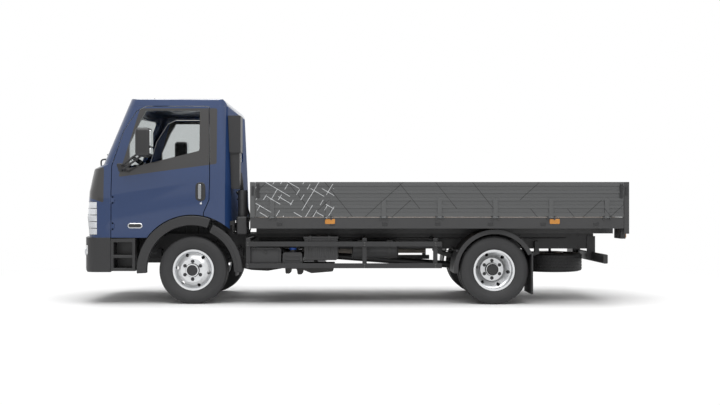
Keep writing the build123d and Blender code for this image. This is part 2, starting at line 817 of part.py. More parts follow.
# Cab front: one panel with the windscreen's pillars, cut for screen, lamps and grille
with BuildPart() as cab_front:
    add(body_shell)
    block((0, -1200, 0), (middle_x, 1200, 3000), Mode.SUBTRACT)
    add(shrunk_prism(screen_outline, middle_x, nose_x + 100, 0, 60), mode=Mode.SUBTRACT)
    add(shrunk_prism(grille_outline, grille_rear_x, nose_x + 100, 0, 24), mode=Mode.SUBTRACT)
    add(lamp_blocks(0), mode=Mode.SUBTRACT)
    lug_start = door_knuckle_height / 2 + door_lug_gap
    lug_end = lug_start + door_lug_height
    for side in (1, -1):
        for z in door_hinge_zs:
            side_rod(side, (door_hinge_x, door_hinge_y, z - lug_end),
                     (door_hinge_x, door_hinge_y, z + lug_end), door_pin_radius)
            for low in (z - lug_end, z + lug_start):
                side_rod(side, (door_hinge_x, door_hinge_y, low),
                         (door_hinge_x, door_hinge_y, low + door_lug_height), door_knuckle_radius)
                side_block(side, (door_hinge_x, door_hinge_y - door_lug_depth, low),
                           (door_front_x + shut_gap + 16, door_hinge_y, low + door_lug_height))
cab_front.part.label = "cab_front"
export_step(cab_front.part, "parts/cab_front.step")

with BuildPart() as headlamps:
    add(cab_shell)
    add(lamp_blocks(seat_gap), mode=Mode.INTERSECT)
headlamps.part.label = "headlamps"
export_step(headlamps.part, "parts/headlamps.step")

with BuildPart() as grille:
    add(cab_shell)
    add(shrunk_prism(grille_outline, grille_rear_x + seat_gap, nose_x + 100, seat_gap, 24),
        mode=Mode.INTERSECT)
    for index in range(slat_count):
        z = slat_low_z + index * slat_pitch
        block((grille_rear_x, -slat_half_width, z), (nose_x + 100, slat_half_width, z + slat_height),
              Mode.SUBTRACT)
grille.part.label = "grille"
export_step(grille.part, "parts/grille.step")

# Cab rear wall and the two side panels behind the doors
rear_window = [(-480, 1690), (480, 1690), (480, 2090), (-480, 2090)]
with BuildPart() as cab_rear_wall:
    add(body_shell)
    block((middle_x, -1200, 0), (4000, 1200, 3000), Mode.SUBTRACT)
    for side in (1, -1):
        side_block(side, (side_split_x, side_split_y, 0), (middle_x, 1200, 3000), Mode.SUBTRACT)
    block((0, -cab_half_width + 60, 0), (side_split_x, cab_half_width - 60, rear_wall_bottom_z),
          Mode.SUBTRACT)
    add(shrunk_prism(rear_window, 0, middle_x, 0, 60), mode=Mode.SUBTRACT)
cab_rear_wall.part.label = "cab_rear_wall"
export_step(cab_rear_wall.part, "parts/cab_rear_wall.step")

for side, side_name in ((1, "left"), (-1, "right")):
    with BuildPart() as cab_side:
        add(body_shell)
        side_block(side, (side_split_x + seat_gap, side_split_y + seat_gap, 0),
                   (middle_x, 1200, 3000), Mode.INTERSECT)
    cab_side.part.label = f"cab_side_{side_name}"
    export_step(cab_side.part, f"parts/cab_side_{side_name}.step")

# Roof
with BuildPart() as cab_roof:
    add(cab_shell)
    block((0, -1200, 0), (4000, 1200, roof_split_z + seat_gap), Mode.SUBTRACT)
cab_roof.part.label = "cab_roof"
export_step(cab_roof.part, "parts/cab_roof.step")

# Glass: fixed screens, and the door glass
glass_outer = cab_form(glass_depth)
glass_inner = cab_form(glass_depth + glass_thickness)
with BuildPart() as glass_form:
    add(glass_outer)
    add(glass_inner, mode=Mode.SUBTRACT)
glass_shell = glass_form.part
screen_hole = shrunk_prism(screen_outline, middle_x, nose_x + 100, seat_gap, 60)
rear_hole = shrunk_prism(rear_window, 0, middle_x, seat_gap, 60)
with BuildPart() as cab_glass:
    add(screen_hole)
    add(rear_hole)
    add(glass_shell, mode=Mode.INTERSECT)
cab_glass.part.label = "cab_glass"
export_step(cab_glass.part, "parts/cab_glass.step")


def window_outline(gap):
    """The door's window in side view, made smaller all round by a gap."""
    with BuildSketch(Plane.XZ) as outline:
        Polygon(
            (door_front_x - 206, 1566),
            (door_rear_x + 109, 1766),
            (door_rear_x + 110, door_top_z - 47),
            (door_front_x - 390, door_top_z - 47),
            (door_front_x - 309, 2097),
            (door_front_x - 195, 1844),
            align=None,
        )
        fillet(outline.vertices().group_by(Axis.X)[0], 30)
        if gap:
            offset(amount=-gap, kind=Kind.INTERSECTION)
    return outline.sketch


# Doors with their glass, hinged at the front edge
for side, side_name in ((1, "left"), (-1, "right")):
    with BuildPart() as door:
        extrude(door_face, amount=-side * (cab_half_width + 60))
        add(cab_shell, mode=Mode.INTERSECT)
        extrude(window_outline(0), amount=-side * (cab_half_width + 60), mode=Mode.SUBTRACT)
        for z in door_hinge_zs:
            notch_end = lug_end + door_lug_gap
            half = door_knuckle_height / 2
            side_rod(side, (door_hinge_x, door_hinge_y, z - notch_end),
                     (door_hinge_x, door_hinge_y, z + notch_end), door_notch_radius, Mode.SUBTRACT)
            side_rod(side, (door_hinge_x, door_hinge_y, z - half),
                     (door_hinge_x, door_hinge_y, z + half), door_knuckle_radius)
            leaf_inner = (door_hinge_x - door_notch_radius - 8, door_hinge_y - door_notch_radius)
            side_block(side, (*leaf_inner, z - half),
                       (door_hinge_x, door_hinge_y + door_knuckle_radius, z + half))
            side_rod(side, (door_hinge_x, door_hinge_y, z - half - 1),
                     (door_hinge_x, door_hinge_y, z + half + 1), door_pin_radius + pin_clearance,
                     Mode.SUBTRACT)
    door.part.label = f"door_{side_name}"
    export_step(door.part, f"parts/door_{side_name}.step")
    with BuildPart() as pane:
        extrude(window_outline(seat_gap), amount=-side * (cab_half_width + 60))
        add(glass_shell, mode=Mode.INTERSECT)
    pane.part.label = f"door_glass_{side_name}"
    export_step(pane.part, f"parts/door_glass_{side_name}.step")

# Cab floor: footwells, engine hump, wheel houses, rear shelf, seat plinths, pivot ears.
# It is two pressings, which meet at a seam in front of the wheel houses.
seat_x = (1500, 2030)
seat_y = [(260, 790), (-860, -180)]
plinth_z = 1130
dash_rear_x = 2640
floor_inside = cab_form(cab_wall + seat_gap)
shelf_top_z = shelf_z + shelf_wall
ear_inner_y = rail_outer_y + ear_gap
footwell_rear_x = front_axle_x + sqrt(house_radius**2 - (footwell_z - axle_height)**2) - 15
floor_seam_x = 2233
with BuildPart() as floor_whole:
    for side in (1, -1):
        side_block(side, (footwell_rear_x, hump_half_width, footwell_z - floor_wall),
                   (nose_x, 1200, footwell_z))
        side_block(side, (0, hump_half_width, shelf_z), (front_axle_x, 1200, shelf_top_z))
        side_block(side, (front_axle_x - 60, hump_half_width, footwell_z - floor_wall),
                   (nose_x, hump_half_width + hump_wall, hump_top_z))
        side_block(side, (0, hump_half_width, shelf_z),
                   (front_axle_x, hump_half_width + hump_wall, hump_top_z))
    block((0, -hump_half_width - hump_wall, hump_top_z - hump_wall),
          (nose_x, hump_half_width + hump_wall, hump_top_z))
    for side in (1, -1):
        y_low, y_high = sorted((side * hump_half_width, side * floor_half_width))
        add(ring_sector(front_axle_x, house_radius - house_wall, house_radius, 38, 92, y_low, y_high))
        side_rod(side, (front_axle_x, hump_half_width - 1, axle_height),
                 (front_axle_x, 1200, axle_height), house_radius - house_wall, Mode.SUBTRACT)
    for low_y, high_y in seat_y:
        block((seat_x[0] + 30, low_y + 60, hump_top_z - 10), (seat_x[1] - 90, high_y - 60, plinth_z))
        outer_y = max(abs(low_y), abs(high_y)) - 60
        side_block(1 if high_y > 0 else -1, (seat_x[0] + 30, hump_half_width + 5, shelf_z + 10),
                   (seat_x[1] - 90, outer_y, plinth_z))
    for side in (1, -1):
        side_block(side, (door_rear_x - 30, floor_half_width, 0), (middle_x + 2000, 1300, 3000),
                   Mode.SUBTRACT)
    add(floor_inside, mode=Mode.INTERSECT)
    for side in (1, -1):
        side_block(side, (tilt_x - 50, ear_inner_y, tilt_z - 30),
                   (tilt_x + 50, hump_half_width + hump_wall, footwell_z - floor_wall / 2))
        side_rod(side, (tilt_x, rail_outer_y, tilt_z), (tilt_x, rail_outer_y + pivot_length + 9, tilt_z),
                 pivot_radius + pin_clearance, Mode.SUBTRACT)
with BuildPart() as floor_front:
    add(floor_whole.part)
    block((0, -1300, 0), (floor_seam_x + seat_gap, 1300, 3000), Mode.SUBTRACT)
with BuildPart() as floor_rear:
    add(floor_whole.part)
    block((floor_seam_x, -1300, 0), (4000, 1300, 3000), Mode.SUBTRACT)
with BuildPart() as cab_floor:
    add(floor_front.part)
    add(floor_rear.part)
cab_floor.part.label = "cab_floor"
export_step(cab_floor.part, "parts/cab_floor.step")

# Dashboard with the steering column
wheel_lean = 35
steering_centre = (2440, 470, 1600)
column_dir = Vector(-sin(radians(wheel_lean)), 0, cos(radians(wheel_lean)))
with BuildPart() as dashboard:
    add(side_prism(
        [(2700, 1180), (2680, 1330), (dash_rear_x, 1500), (2700, 1585), (nose_x, 1600), (nose_x, 1180)],
        -cab_half_width + cab_wall + 40, cab_half_width - cab_wall - 40, 24))
    add(floor_inside, mode=Mode.INTERSECT)
    rod(Vector(*steering_centre) - column_dir * 520, Vector(*steering_centre) - column_dir * 60, 34)
dashboard.part.label = "dashboard"
export_step(dashboard.part, "parts/dashboard.step")

# Steering wheel on the column
rim_ring_radius = 205
rim_ring_wall = 14
with BuildPart() as steering_wheel:
    wheel_face = Plane(origin=steering_centre, x_dir=(0, 1, 0), z_dir=column_dir)
    with BuildSketch(Plane(origin=steering_centre, x_dir=(0, 1, 0), z_dir=wheel_face.y_dir)):
        with Locations((rim_ring_radius, 0)):
            Circle(rim_ring_wall)
    revolve(axis=Axis(steering_centre, tuple(column_dir)))
    with Locations(wheel_face):
        Cylinder(62, 46)
    hub_point = Vector(*steering_centre)
    for angle in (0, 180, 270):
        reach = wheel_face.x_dir * cos(radians(angle)) + wheel_face.y_dir * sin(radians(angle))
        rod(hub_point + reach * 30, hub_point + reach * rim_ring_radius, 11)
    rod(hub_point - column_dir * (60 - seat_gap), hub_point, 24)
steering_wheel.part.label = "steering_wheel"
export_step(steering_wheel.part, "parts/steering_wheel.step")

# Seats: a driver's seat and a double bench, cushions and backs
cushion_height = 130
back_height = 560
with BuildPart() as seat_cushions:
    for low_y, high_y in seat_y:
        block((seat_x[0], low_y, plinth_z + seat_gap), (seat_x[1], high_y, plinth_z + cushion_height))
    fillet(seat_cushions.edges(), 26)
seat_cushions.part.label = "seat_cushions"
export_step(seat_cushions.part, "parts/seat_cushions.step")
with BuildPart() as seat_backs:
    back_low_z = plinth_z + cushion_height + 2 * seat_gap
    for low_y, high_y in seat_y:
        add(side_prism(
            [(seat_x[0] + 20, back_low_z), (seat_x[0] + 150, back_low_z),
             (seat_x[0] + 100, back_low_z + back_height), (seat_x[0] - 5, back_low_z + back_height)],
            low_y + 10, high_y - 10, 30))
seat_backs.part.label = "seat_backs"
export_step(seat_backs.part, "parts/seat_backs.step")

# Bumper, wrapped round the corners, with an air intake
bumper_top_z = cab_bottom_z - seat_gap
intake_z = (470, 590)
intake_half_width = 480


def bumper_plan(inset, rear_x):
    """The bumper in plan, moved inwards by the inset."""
    half_width = cab_half_width - 4 - inset
    sag = plan_radius - sqrt(plan_radius**2 - half_width**2)
    with BuildSketch(Plane.XY.offset(bumper_bottom_z)) as plan:
        with BuildLine():
            Polyline(
                (nose_x - inset - sag, -half_width),
                (rear_x, -half_width),
                (rear_x, half_width),
                (nose_x - inset - sag, half_width),
            )
            ThreePointArc((nose_x - inset - sag, half_width), (nose_x - inset, 0),
                          (nose_x - inset - sag, -half_width))
        make_face()
        fillet(plan.vertices().group_by(Axis.X)[-1], corner_radius)
    return plan.sketch


bumper_outer = bumper_plan(0, bumper_rear_x)
bumper_inner = bumper_plan(bumper_wall, bumper_rear_x - 100)
with BuildPart() as bumper:
    extrude(bumper_outer, amount=bumper_top_z - bumper_bottom_z)
    extrude(bumper_inner, amount=bumper_top_z - bumper_bottom_z, mode=Mode.SUBTRACT)
    add(side_prism(
        [(bumper_rear_x - 10, bumper_bottom_z), (nose_x - 170, bumper_bottom_z),
         (nose_x, bumper_bottom_z + 115), (nose_x, 660), (nose_x - 22, bumper_top_z),
         (bumper_rear_x - 10, bumper_top_z)],
        -cab_half_width, cab_half_width), mode=Mode.INTERSECT)
    block((2900, -intake_half_width, intake_z[0]), (nose_x + 10, intake_half_width, intake_z[1]),
          Mode.SUBTRACT)
bumper.part.label = "bumper"
export_step(bumper.part, "parts/bumper.step")

# Steps under the doors, behind the bumper's ends
with BuildPart() as cab_steps:
    for side in (1, -1):
        side_block(side, (step_rear_x, step_inner_y, step_bottom_z),
                   (bumper_rear_x - seat_gap, step_outer_y, sill_z - shut_gap))
        side_block(side, (step_rear_x, step_inner_y, sill_z - shut_gap - 1),
                   (bumper_rear_x - seat_gap, floor_half_width - 20, footwell_z - floor_wall - seat_gap))
        side_block(side, (step_rear_x + 35, step_inner_y + 50, step_bottom_z + 35),
                   (bumper_rear_x - 35, step_outer_y + 10, step_bottom_z + 150), Mode.SUBTRACT)
        side_block(side, (step_rear_x + 35, step_inner_y + 90, step_bottom_z + 185),
                   (bumper_rear_x - 35, step_outer_y + 10, sill_z - shut_gap - 45), Mode.SUBTRACT)
cab_steps.part.label = "cab_steps"
export_step(cab_steps.part, "parts/cab_steps.step")

# Flares round the wheel arches, with a liner in front of the wheel
with BuildPart() as cab_flares:
    for side in (1, -1):
        y_low, y_high = sorted((side * (flare_y + seat_gap), side * (flare_y + flare_reach)))
        add(ring_sector(front_axle_x, flare_inner, flare_outer, -3, 110, y_low, y_high))
        y_low, y_high = sorted((side * step_inner_y, side * (flare_y + 20)))
        add(ring_sector(front_axle_x, house_radius + 20, flare_outer, -3, 33, y_low, y_high))
cab_flares.part.label = "cab_flares"
export_step(cab_flares.part, "parts/cab_flares.step")

# Air intake up the back of the cab
snorkel_y = (690, 890)
snorkel_rear_x = 1268
snorkel_z = (1330, 2180)
head_low_z = 1750
with BuildPart() as snorkel:
    add(side_prism(
        [(snorkel_rear_x, head_low_z), (snorkel_rear_x, snorkel_z[1]),
         (rear_line(snorkel_z[1]) - seat_gap, snorkel_z[1]),
         (rear_line(head_low_z) - seat_gap, head_low_z)],
        *snorkel_y, 8))
    add(side_prism(
        [(snorkel_rear_x + 15, snorkel_z[0]), (snorkel_rear_x + 15, head_low_z + 20),
         (rear_line(head_low_z) - seat_gap - 1, head_low_z + 20),
         (rear_line(snorkel_z[0]) - seat_gap, snorkel_z[0])],
        snorkel_y[0] + 30, snorkel_y[1] - 30))
snorkel.part.label = "snorkel"
export_step(snorkel.part, "parts/snorkel.step")

# Mirrors on two arms from the doors' front corners
mirror_x = (2235, 2405)
mirror_y = (1100, 1300)
mirror_z = (1690, 2010)
mirror_root = (door_front_x - 110, cab_half_width - 60, 1540)
for side, side_name in ((1, "left"), (-1, "right")):
    with BuildPart() as mirror:
        side_block(side, (mirror_x[0], mirror_y[0], mirror_z[0]), (mirror_x[1], mirror_y[1], mirror_z[1]))
        fillet(mirror.edges(), 40)
        for lift in (0, 55):
            low = (mirror_root[0], mirror_root[1], mirror_root[2] + lift)
            elbow = (mirror_root[0] - 60, mirror_y[0] + 30, mirror_root[2] + lift + 10)
            side_rod(side, low, elbow, 12)
            side_rod(side, elbow, (mirror_x[1] - 60, mirror_y[0] + 60, mirror_z[0] + 20 + lift), 12)
        add(cab_form(-seat_gap), mode=Mode.SUBTRACT)
    mirror.part.label = f"mirror_{side_name}"
    export_step(mirror.part, f"parts/mirror_{side_name}.step")

# Fuel tank on the right, battery box, tool box and reducing agent tank on the left
tank_x = (330, 1030)
tank_y = (500, 960)
tank_z = (400, 790)
with BuildPart() as fuel_tank:
    side_block(-1, (tank_x[0], tank_y[0], tank_z[0]), (tank_x[1], tank_y[1], tank_z[1]))
    fillet(fuel_tank.edges().filter_by(Axis.X), 60)
    for x in (tank_x[0] + 130, tank_x[1] - 130):
        side_block(-1, (x - 30, rail_outer_y + seat_gap, tank_z[0] + 150),
                   (x + 30, tank_y[0] + 30, tank_z[1] - 70))
    side_rod(-1, (tank_x[1] - 90, tank_y[1] - 120, tank_z[1] - 20),
             (tank_x[1] - 90, tank_y[1] - 60, tank_z[1] + 36), 42)
fuel_tank.part.label = "fuel_tank"
export_step(fuel_tank.part, "parts/fuel_tank.step")

# Boxes on brackets from the left rail: battery box, tool box, reducing agent tank.
# The low one hangs on a strap and has its filler cap on top.
box_table = [
    # X range, Y range, Z range
    ((140, 525), (560, 1010), (510, 780)),
    ((790, 1150), (600, 1000), (450, 655)),
    ((548, 772), (620, 1005), (440, 600)),
]
box_bracket_half = 50
box_bracket_depth = 60
low_box_top = 640
low_bracket_top = rail_bottom_z + box_bracket_depth
box_shapes = []
for x_range, y_range, z_range in box_table:
    with BuildPart() as chassis_box:
        block((x_range[0], y_range[0], z_range[0]), (x_range[1], y_range[1], z_range[1]))
        fillet(chassis_box.edges().filter_by(Axis.Y), 30)
        middle = sum(x_range) / 2
        hangs = z_range[1] < low_box_top
        bracket_top = low_bracket_top if hangs else min(z_range[1] - 8, rail_top_z - 20)
        block((middle - box_bracket_half, rail_outer_y + seat_gap, max(z_range[0] + 30, rail_bottom_z)),
              (middle + box_bracket_half, y_range[0] + box_bracket_depth, bracket_top))
        if hangs:
            block((middle - box_bracket_half, y_range[0] + 20, z_range[1] - 20),
                  (middle + box_bracket_half, y_range[0] + box_bracket_depth, low_bracket_top))
            rod((middle, 900, z_range[1] - 10), (middle, 900, z_range[1] + 34), 38)
    box_shapes.append(chassis_box.part)
with BuildPart() as side_boxes:
    for shape in box_shapes:
        add(shape)
side_boxes.part.label = "side_boxes"
export_step(side_boxes.part, "parts/side_boxes.step")

# Exhaust silencer on the right and two air reservoirs on the left
with BuildPart() as exhaust:
    rod((-420, -560, 560), (240, -560, 560), 112)
    fillet(exhaust.edges().filter_by(GeomType.CIRCLE), 24)
    rod((-960, -560, 560), (-400, -560, 560), 38)
    for x in (-300, 120):
        side_block(-1, (x - 22, rail_outer_y + seat_gap, 640), (x + 22, 580, 690))
        side_block(-1, (x - 22, 540, 600), (x + 22, 580, 690))
exhaust.part.label = "exhaust"
export_step(exhaust.part, "parts/exhaust.step")

with BuildPart() as air_tanks:
    for y in (560, 790):
        rod((-560, y, 622), (-20, y, 622), 100)
    fillet(air_tanks.edges().filter_by(GeomType.CIRCLE), 30)
    for x in (-460, -120):
        block((x - 20, rail_outer_y + seat_gap, 700), (x + 20, 800, 734))
air_tanks.part.label = "air_tanks"
export_step(air_tanks.part, "parts/air_tanks.step")

# Air cleaner behind the cab, under the intake
with BuildPart() as air_cleaner:
    cleaner_x = snorkel_rear_x - 15
    cleaner_y = sum(snorkel_y) / 2
    block((cleaner_x - 62, snorkel_y[0] - 40, 800), (cleaner_x + 62, snorkel_y[1] + 10, 1010))
    fillet(air_cleaner.edges(), 20)
    rod((cleaner_x, cleaner_y, 1000), (cleaner_x, cleaner_y, snorkel_z[0] - shut_gap - 6), 56)
    block((cleaner_x - 40, rail_inner_y, rail_top_z + seat_gap), (cleaner_x + 40, cleaner_y, 850))
air_cleaner.part.label = "air_cleaner"
export_step(air_cleaner.part, "parts/air_cleaner.step")

# Mudguards on tubes from the frame: the rear halves over the front wheels, and
# full guards with mud flaps over the twin wheels
guard_y = (step_inner_y, 1000)
guard_inner = 500
guard_wall = 14
rear_guard_inner = 455
rear_guard_outer = rear_guard_inner + guard_wall
rear_guard_y = (520, 1035)
rear_guard_start = -4
rear_guard_end = 155
lip_wall = 12
flap_bottom_z = 120
with BuildPart() as mudguards:
    for side in (1, -1):
        y_low, y_high = sorted((side * guard_y[0], side * guard_y[1]))
        add(ring_sector(front_axle_x, guard_inner, guard_inner + guard_wall, 118, 187, y_low, y_high))
        for angle in (126, 158):
            reach = guard_inner + guard_wall + 10
            x = front_axle_x + reach * cos(radians(angle))
            z = axle_height + reach * sin(radians(angle))
            rail_z = max(rail_bottom_z + 30, min(z, rail_top_z - 30))
            side_rod(side, (x, rail_outer_y + seat_gap, rail_z), (x, rail_outer_y + 60, rail_z), 14)
            side_rod(side, (x, rail_outer_y + 50, rail_z), (x, guard_y[1] - 60, z), 14)
    for side in (1, -1):
        y_low, y_high = sorted((side * rear_guard_y[0], side * rear_guard_y[1]))
        add(ring_sector(rear_axle_x, rear_guard_inner, rear_guard_outer,
                        rear_guard_start, rear_guard_end, y_low, y_high))
        lip_low, lip_high = sorted((side * (rear_guard_y[1] - lip_wall), side * rear_guard_y[1]))
        add(ring_sector(rear_axle_x, rear_guard_inner - 35, rear_guard_inner + 5,
                        rear_guard_start, rear_guard_end, lip_low, lip_high))
        end_x = rear_axle_x + rear_guard_outer * cos(radians(rear_guard_end))
        end_z = axle_height + rear_guard_outer * sin(radians(rear_guard_end))
        side_block(side, (end_x - lip_wall, rear_guard_y[0], flap_bottom_z),
                   (end_x + 6, rear_guard_y[1], end_z + 4))
        for angle in (28, 132):
            reach = rear_guard_outer + 10
            x = rear_axle_x + reach * cos(radians(angle))
            z = axle_height + reach * sin(radians(angle))
            side_rod(side, (x, rail_outer_y + seat_gap, z), (x, rear_guard_y[1] - 60, z), 15)
mudguards.part.label = "mudguards"
export_step(mudguards.part, "parts/mudguards.step")

# Side guards: two rails on posts from the frame's underside
guard_front_x = 1190
guard_rear_x = -1050
guard_rail_y = (1030, 1058)
guard_rails_z = [(420, 476), (668, 724)]
post_xs = [1165, -167, -977]
bracket_z = 736
with BuildPart() as side_guards:
    for side in (1, -1):
        for z_low, z_high in guard_rails_z:
            side_block(side, (guard_rear_x, guard_rail_y[0], z_low),
                       (guard_front_x, guard_rail_y[1], z_high))
        for x in post_xs:
            side_block(side, (x - 25, guard_rail_y[0] - 20, guard_rails_z[0][0] + 6),
                       (x + 25, guard_rail_y[0] + 5, bracket_z + 30))
            side_block(side, (x - 20, rail_outer_y + seat_gap, bracket_z),
                       (x + 20, guard_rail_y[0], bracket_z + 30))
side_guards.part.label = "side_guards"
export_step(side_guards.part, "parts/side_guards.step")

# Underrun bar at the rear
bar_x = (-2955, -2905)
bar_z = (470, 575)
bar_half_width = 1010
with BuildPart() as underrun_bar:
    block((bar_x[0], -bar_half_width, bar_z[0]), (bar_x[1], bar_half_width, bar_z[1]))
    fillet(underrun_bar.edges().filter_by(Axis.Y), 12)
    for side in (1, -1):
        side_block(side, (bar_x[0] + 5, rail_outer_y + seat_gap, bar_z[0] + 20),
                   (bar_x[0] + 105, rail_outer_y + 14, rail_top_z - 30))
underrun_bar.part.label = "underrun_bar"
export_step(underrun_bar.part, "parts/underrun_bar.step")

# Platform frame: runners on the rails, cross beams, raves and end rails
floor_bottom_z = floor_top_z - floor_thickness
runner_low_z = rail_top_z + seat_gap
runner_top_z = rail_top_z + runner_height
rave_low_z = floor_top_z - seat_gap - 2 - rave_height
rave_inner_y = rave_outer_y - rave_wall
runner_inner_y = rail_outer_y - runner_width
bed_front_inner_x = bed_front_x - 36
rave_rear_x = bed_rear_x + 8
hinge_y = bed_half_width + hinge_drop
hinge_x = bed_rear_x - hinge_drop
hinge_z = floor_top_z
side_front_x = bed_front_x - post_width
side_rear_x = bed_rear_x + post_width
side_low_z = floor_top_z + side_gap
side_top_z = side_low_z + side_height
leaf_half = 25
lug_gap = 2
lug_width = 20
side_hinge_pitch = (side_front_x - side_rear_x - 2 * end_hinge_inset) / (side_hinge_count - 1)
side_hinge_xs = [side_rear_x + end_hinge_inset + i * side_hinge_pitch for i in range(side_hinge_count)]
tail_half_width = bed_half_width - side_wall - side_gap
tail_hinge_pitch = 2 * (tail_half_width - end_hinge_inset) / (tail_hinge_count - 1)
tail_hinge_ys = [-tail_half_width + end_hinge_inset + i * tail_hinge_pitch for i in range(tail_hinge_count)]
with BuildPart() as bed_frame:
    for side in (1, -1):
        side_block(side, (rave_rear_x, runner_inner_y, runner_low_z),
                   (bed_front_x, rail_outer_y, runner_top_z))
        side_block(side, (rave_rear_x, rave_inner_y, rave_low_z),
                   (bed_front_x, rave_outer_y, floor_top_z - seat_gap))
    beam_pitch = (bed_front_inner_x - rave_rear_x - rave_wall) / (cross_beam_count - 1)
    for index in range(cross_beam_count):
        x = rave_rear_x + rave_wall + index * beam_pitch
        block((x - cross_beam_width / 2, -rave_outer_y + 5, runner_top_z - 0.5),
              (x + cross_beam_width / 2, rave_outer_y - 5, floor_bottom_z - seat_gap))
    for x_low, x_high in ((rave_rear_x, rave_rear_x + rave_wall), (bed_front_inner_x, bed_front_x)):
        block((x_low, -rave_outer_y + 5, rave_low_z), (x_high, rave_outer_y - 5, floor_top_z - seat_gap))
    # hinge lugs with their pins
    for side in (1, -1):
        for x in side_hinge_xs:
            for sign in (1, -1):
                near = x + sign * (leaf_half + lug_gap)
                far = near + sign * lug_width
                low_x, high_x = sorted((near, far))
                side_rod(side, (near, hinge_y, hinge_z), (far, hinge_y, hinge_z), hinge_radius)
                side_block(side, (low_x, rave_outer_y - 6, hinge_z - 28), (high_x, hinge_y, hinge_z - 1))
            side_rod(side, (x - leaf_half - lug_gap - 1, hinge_y, hinge_z),
                     (x + leaf_half + lug_gap + 1, hinge_y, hinge_z), hinge_pin_radius)
    for y in tail_hinge_ys:
        for sign in (1, -1):
            near = y + sign * (leaf_half + lug_gap)
            far = near + sign * lug_width
            low_y, high_y = sorted((near, far))
            rod((hinge_x, near, hinge_z), (hinge_x, far, hinge_z), hinge_radius)
            block((hinge_x, low_y, hinge_z - 28), (rave_rear_x + 6, high_y, hinge_z - 1))
        pin_end = leaf_half + lug_gap + 1
        rod((hinge_x, y - pin_end, hinge_z), (hinge_x, y + pin_end, hinge_z), hinge_pin_radius)
    # rear corner posts
    for side in (1, -1):
        side_block(side, (bed_rear_x, bed_half_width - side_wall, rave_low_z - 60),
                   (side_rear_x - side_gap, bed_half_width, side_top_z))
        side_block(side, (bed_rear_x + 6, rave_inner_y, rave_low_z - 60),
                   (side_rear_x - side_gap, bed_half_width - side_wall / 2, floor_top_z - seat_gap))
bed_frame.part.label = "bed_frame"
export_step(bed_frame.part, "parts/bed_frame.step")

with BuildPart() as bed_floor:
    block((rave_rear_x + rave_wall + seat_gap, -rave_inner_y + seat_gap, floor_bottom_z),
          (bed_front_inner_x - seat_gap, rave_inner_y - seat_gap, floor_top_z))
bed_floor.part.label = "bed_floor"
export_step(bed_floor.part, "parts/bed_floor.step")

# Headboard with the front corner posts
groove_count = 3
groove_height = 75
groove_half_width = bed_half_width - 90
with BuildPart() as headboard:
    block((bed_front_inner_x, -bed_half_width + side_wall, floor_top_z),
          (bed_front_x, bed_half_width - side_wall, side_top_z))
    for index in range(groove_count):
        z_low = floor_top_z + 40 + index * (side_height / groove_count)
        block((bed_front_x - 8, -groove_half_width, z_low),
              (bed_front_x + 1, groove_half_width, z_low + groove_height), Mode.SUBTRACT)
    for side in (1, -1):
        side_block(side, (side_front_x + side_gap, bed_half_width - side_wall, floor_top_z),
                   (bed_front_x, bed_half_width, side_top_z))
headboard.part.label = "headboard"
export_step(headboard.part, "parts/headboard.step")

# Dropsides and tailgate: ribbed boards on leaves with knuckles
rib_count = 4
rib_depth = 8
rib_height = 52
rib_pitch = (side_height - 60) / rib_count
notch_radius = hinge_radius + 5
leaf_height = 210
rib_low = 48
for side, side_name in ((1, "left"), (-1, "right")):
    with BuildPart() as dropside:
        side_block(side, (side_rear_x, bed_half_width - side_wall, side_low_z),
                   (side_front_x, bed_half_width, side_top_z))
        for index in range(rib_count):
            z_low = side_low_z + rib_low + index * rib_pitch
            side_block(side, (side_rear_x - 1, bed_half_width - rib_depth, z_low),
                       (side_front_x + 1, bed_half_width + 1, z_low + rib_height), Mode.SUBTRACT)
        for x in side_hinge_xs:
            span = leaf_half + lug_gap + lug_width + 5
            side_rod(side, (x - span, hinge_y, hinge_z), (x + span, hinge_y, hinge_z), notch_radius,
                     Mode.SUBTRACT)
            side_block(side, (x - leaf_half, bed_half_width - rib_depth - 1, hinge_z),
                       (x + leaf_half, bed_half_width + hinge_leaf, side_low_z + leaf_height))
            side_rod(side, (x - leaf_half, hinge_y, hinge_z),
                     (x + leaf_half, hinge_y, hinge_z), hinge_radius)
            side_rod(side, (x - leaf_half - 1, hinge_y, hinge_z), (x + leaf_half + 1, hinge_y, hinge_z),
                     hinge_pin_radius + pin_clearance, Mode.SUBTRACT)
    dropside.part.label = f"dropside_{side_name}"
    export_step(dropside.part, f"parts/dropside_{side_name}.step")

with BuildPart() as tailgate:
    block((bed_rear_x, -tail_half_width, side_low_z), (bed_rear_x + side_wall, tail_half_width, side_top_z))
    for index in range(rib_count):
        z_low = side_low_z + rib_low + index * rib_pitch
        block((bed_rear_x - 1, -tail_half_width - 1, z_low),
              (bed_rear_x + rib_depth, tail_half_width + 1, z_low + rib_height), Mode.SUBTRACT)
    for y in tail_hinge_ys:
        span = leaf_half + lug_gap + lug_width + 5
        rod((hinge_x, y - span, hinge_z), (hinge_x, y + span, hinge_z), notch_radius, Mode.SUBTRACT)
        block((bed_rear_x - hinge_leaf, y - leaf_half, hinge_z),
              (bed_rear_x + rib_depth + 1, y + leaf_half, side_low_z + leaf_height))
        rod((hinge_x, y - leaf_half, hinge_z), (hinge_x, y + leaf_half, hinge_z), hinge_radius)
        rod((hinge_x, y - leaf_half - 1, hinge_z), (hinge_x, y + leaf_half + 1, hinge_z),
            hinge_pin_radius + pin_clearance, Mode.SUBTRACT)
tailgate.part.label = "tailgate"
export_step(tailgate.part, "parts/tailgate.step")

# Rear lamps under the platform's end
lamp_y = (700, 1000)
with BuildPart() as rear_lamps:
    for side in (1, -1):
        side_block(side, (bed_rear_x + 12, lamp_y[0], rave_low_z - 120),
                   (bed_rear_x + 72, lamp_y[1], rave_low_z - seat_gap))
rear_lamps.part.label = "rear_lamps"
export_step(rear_lamps.part, "parts/rear_lamps.step")
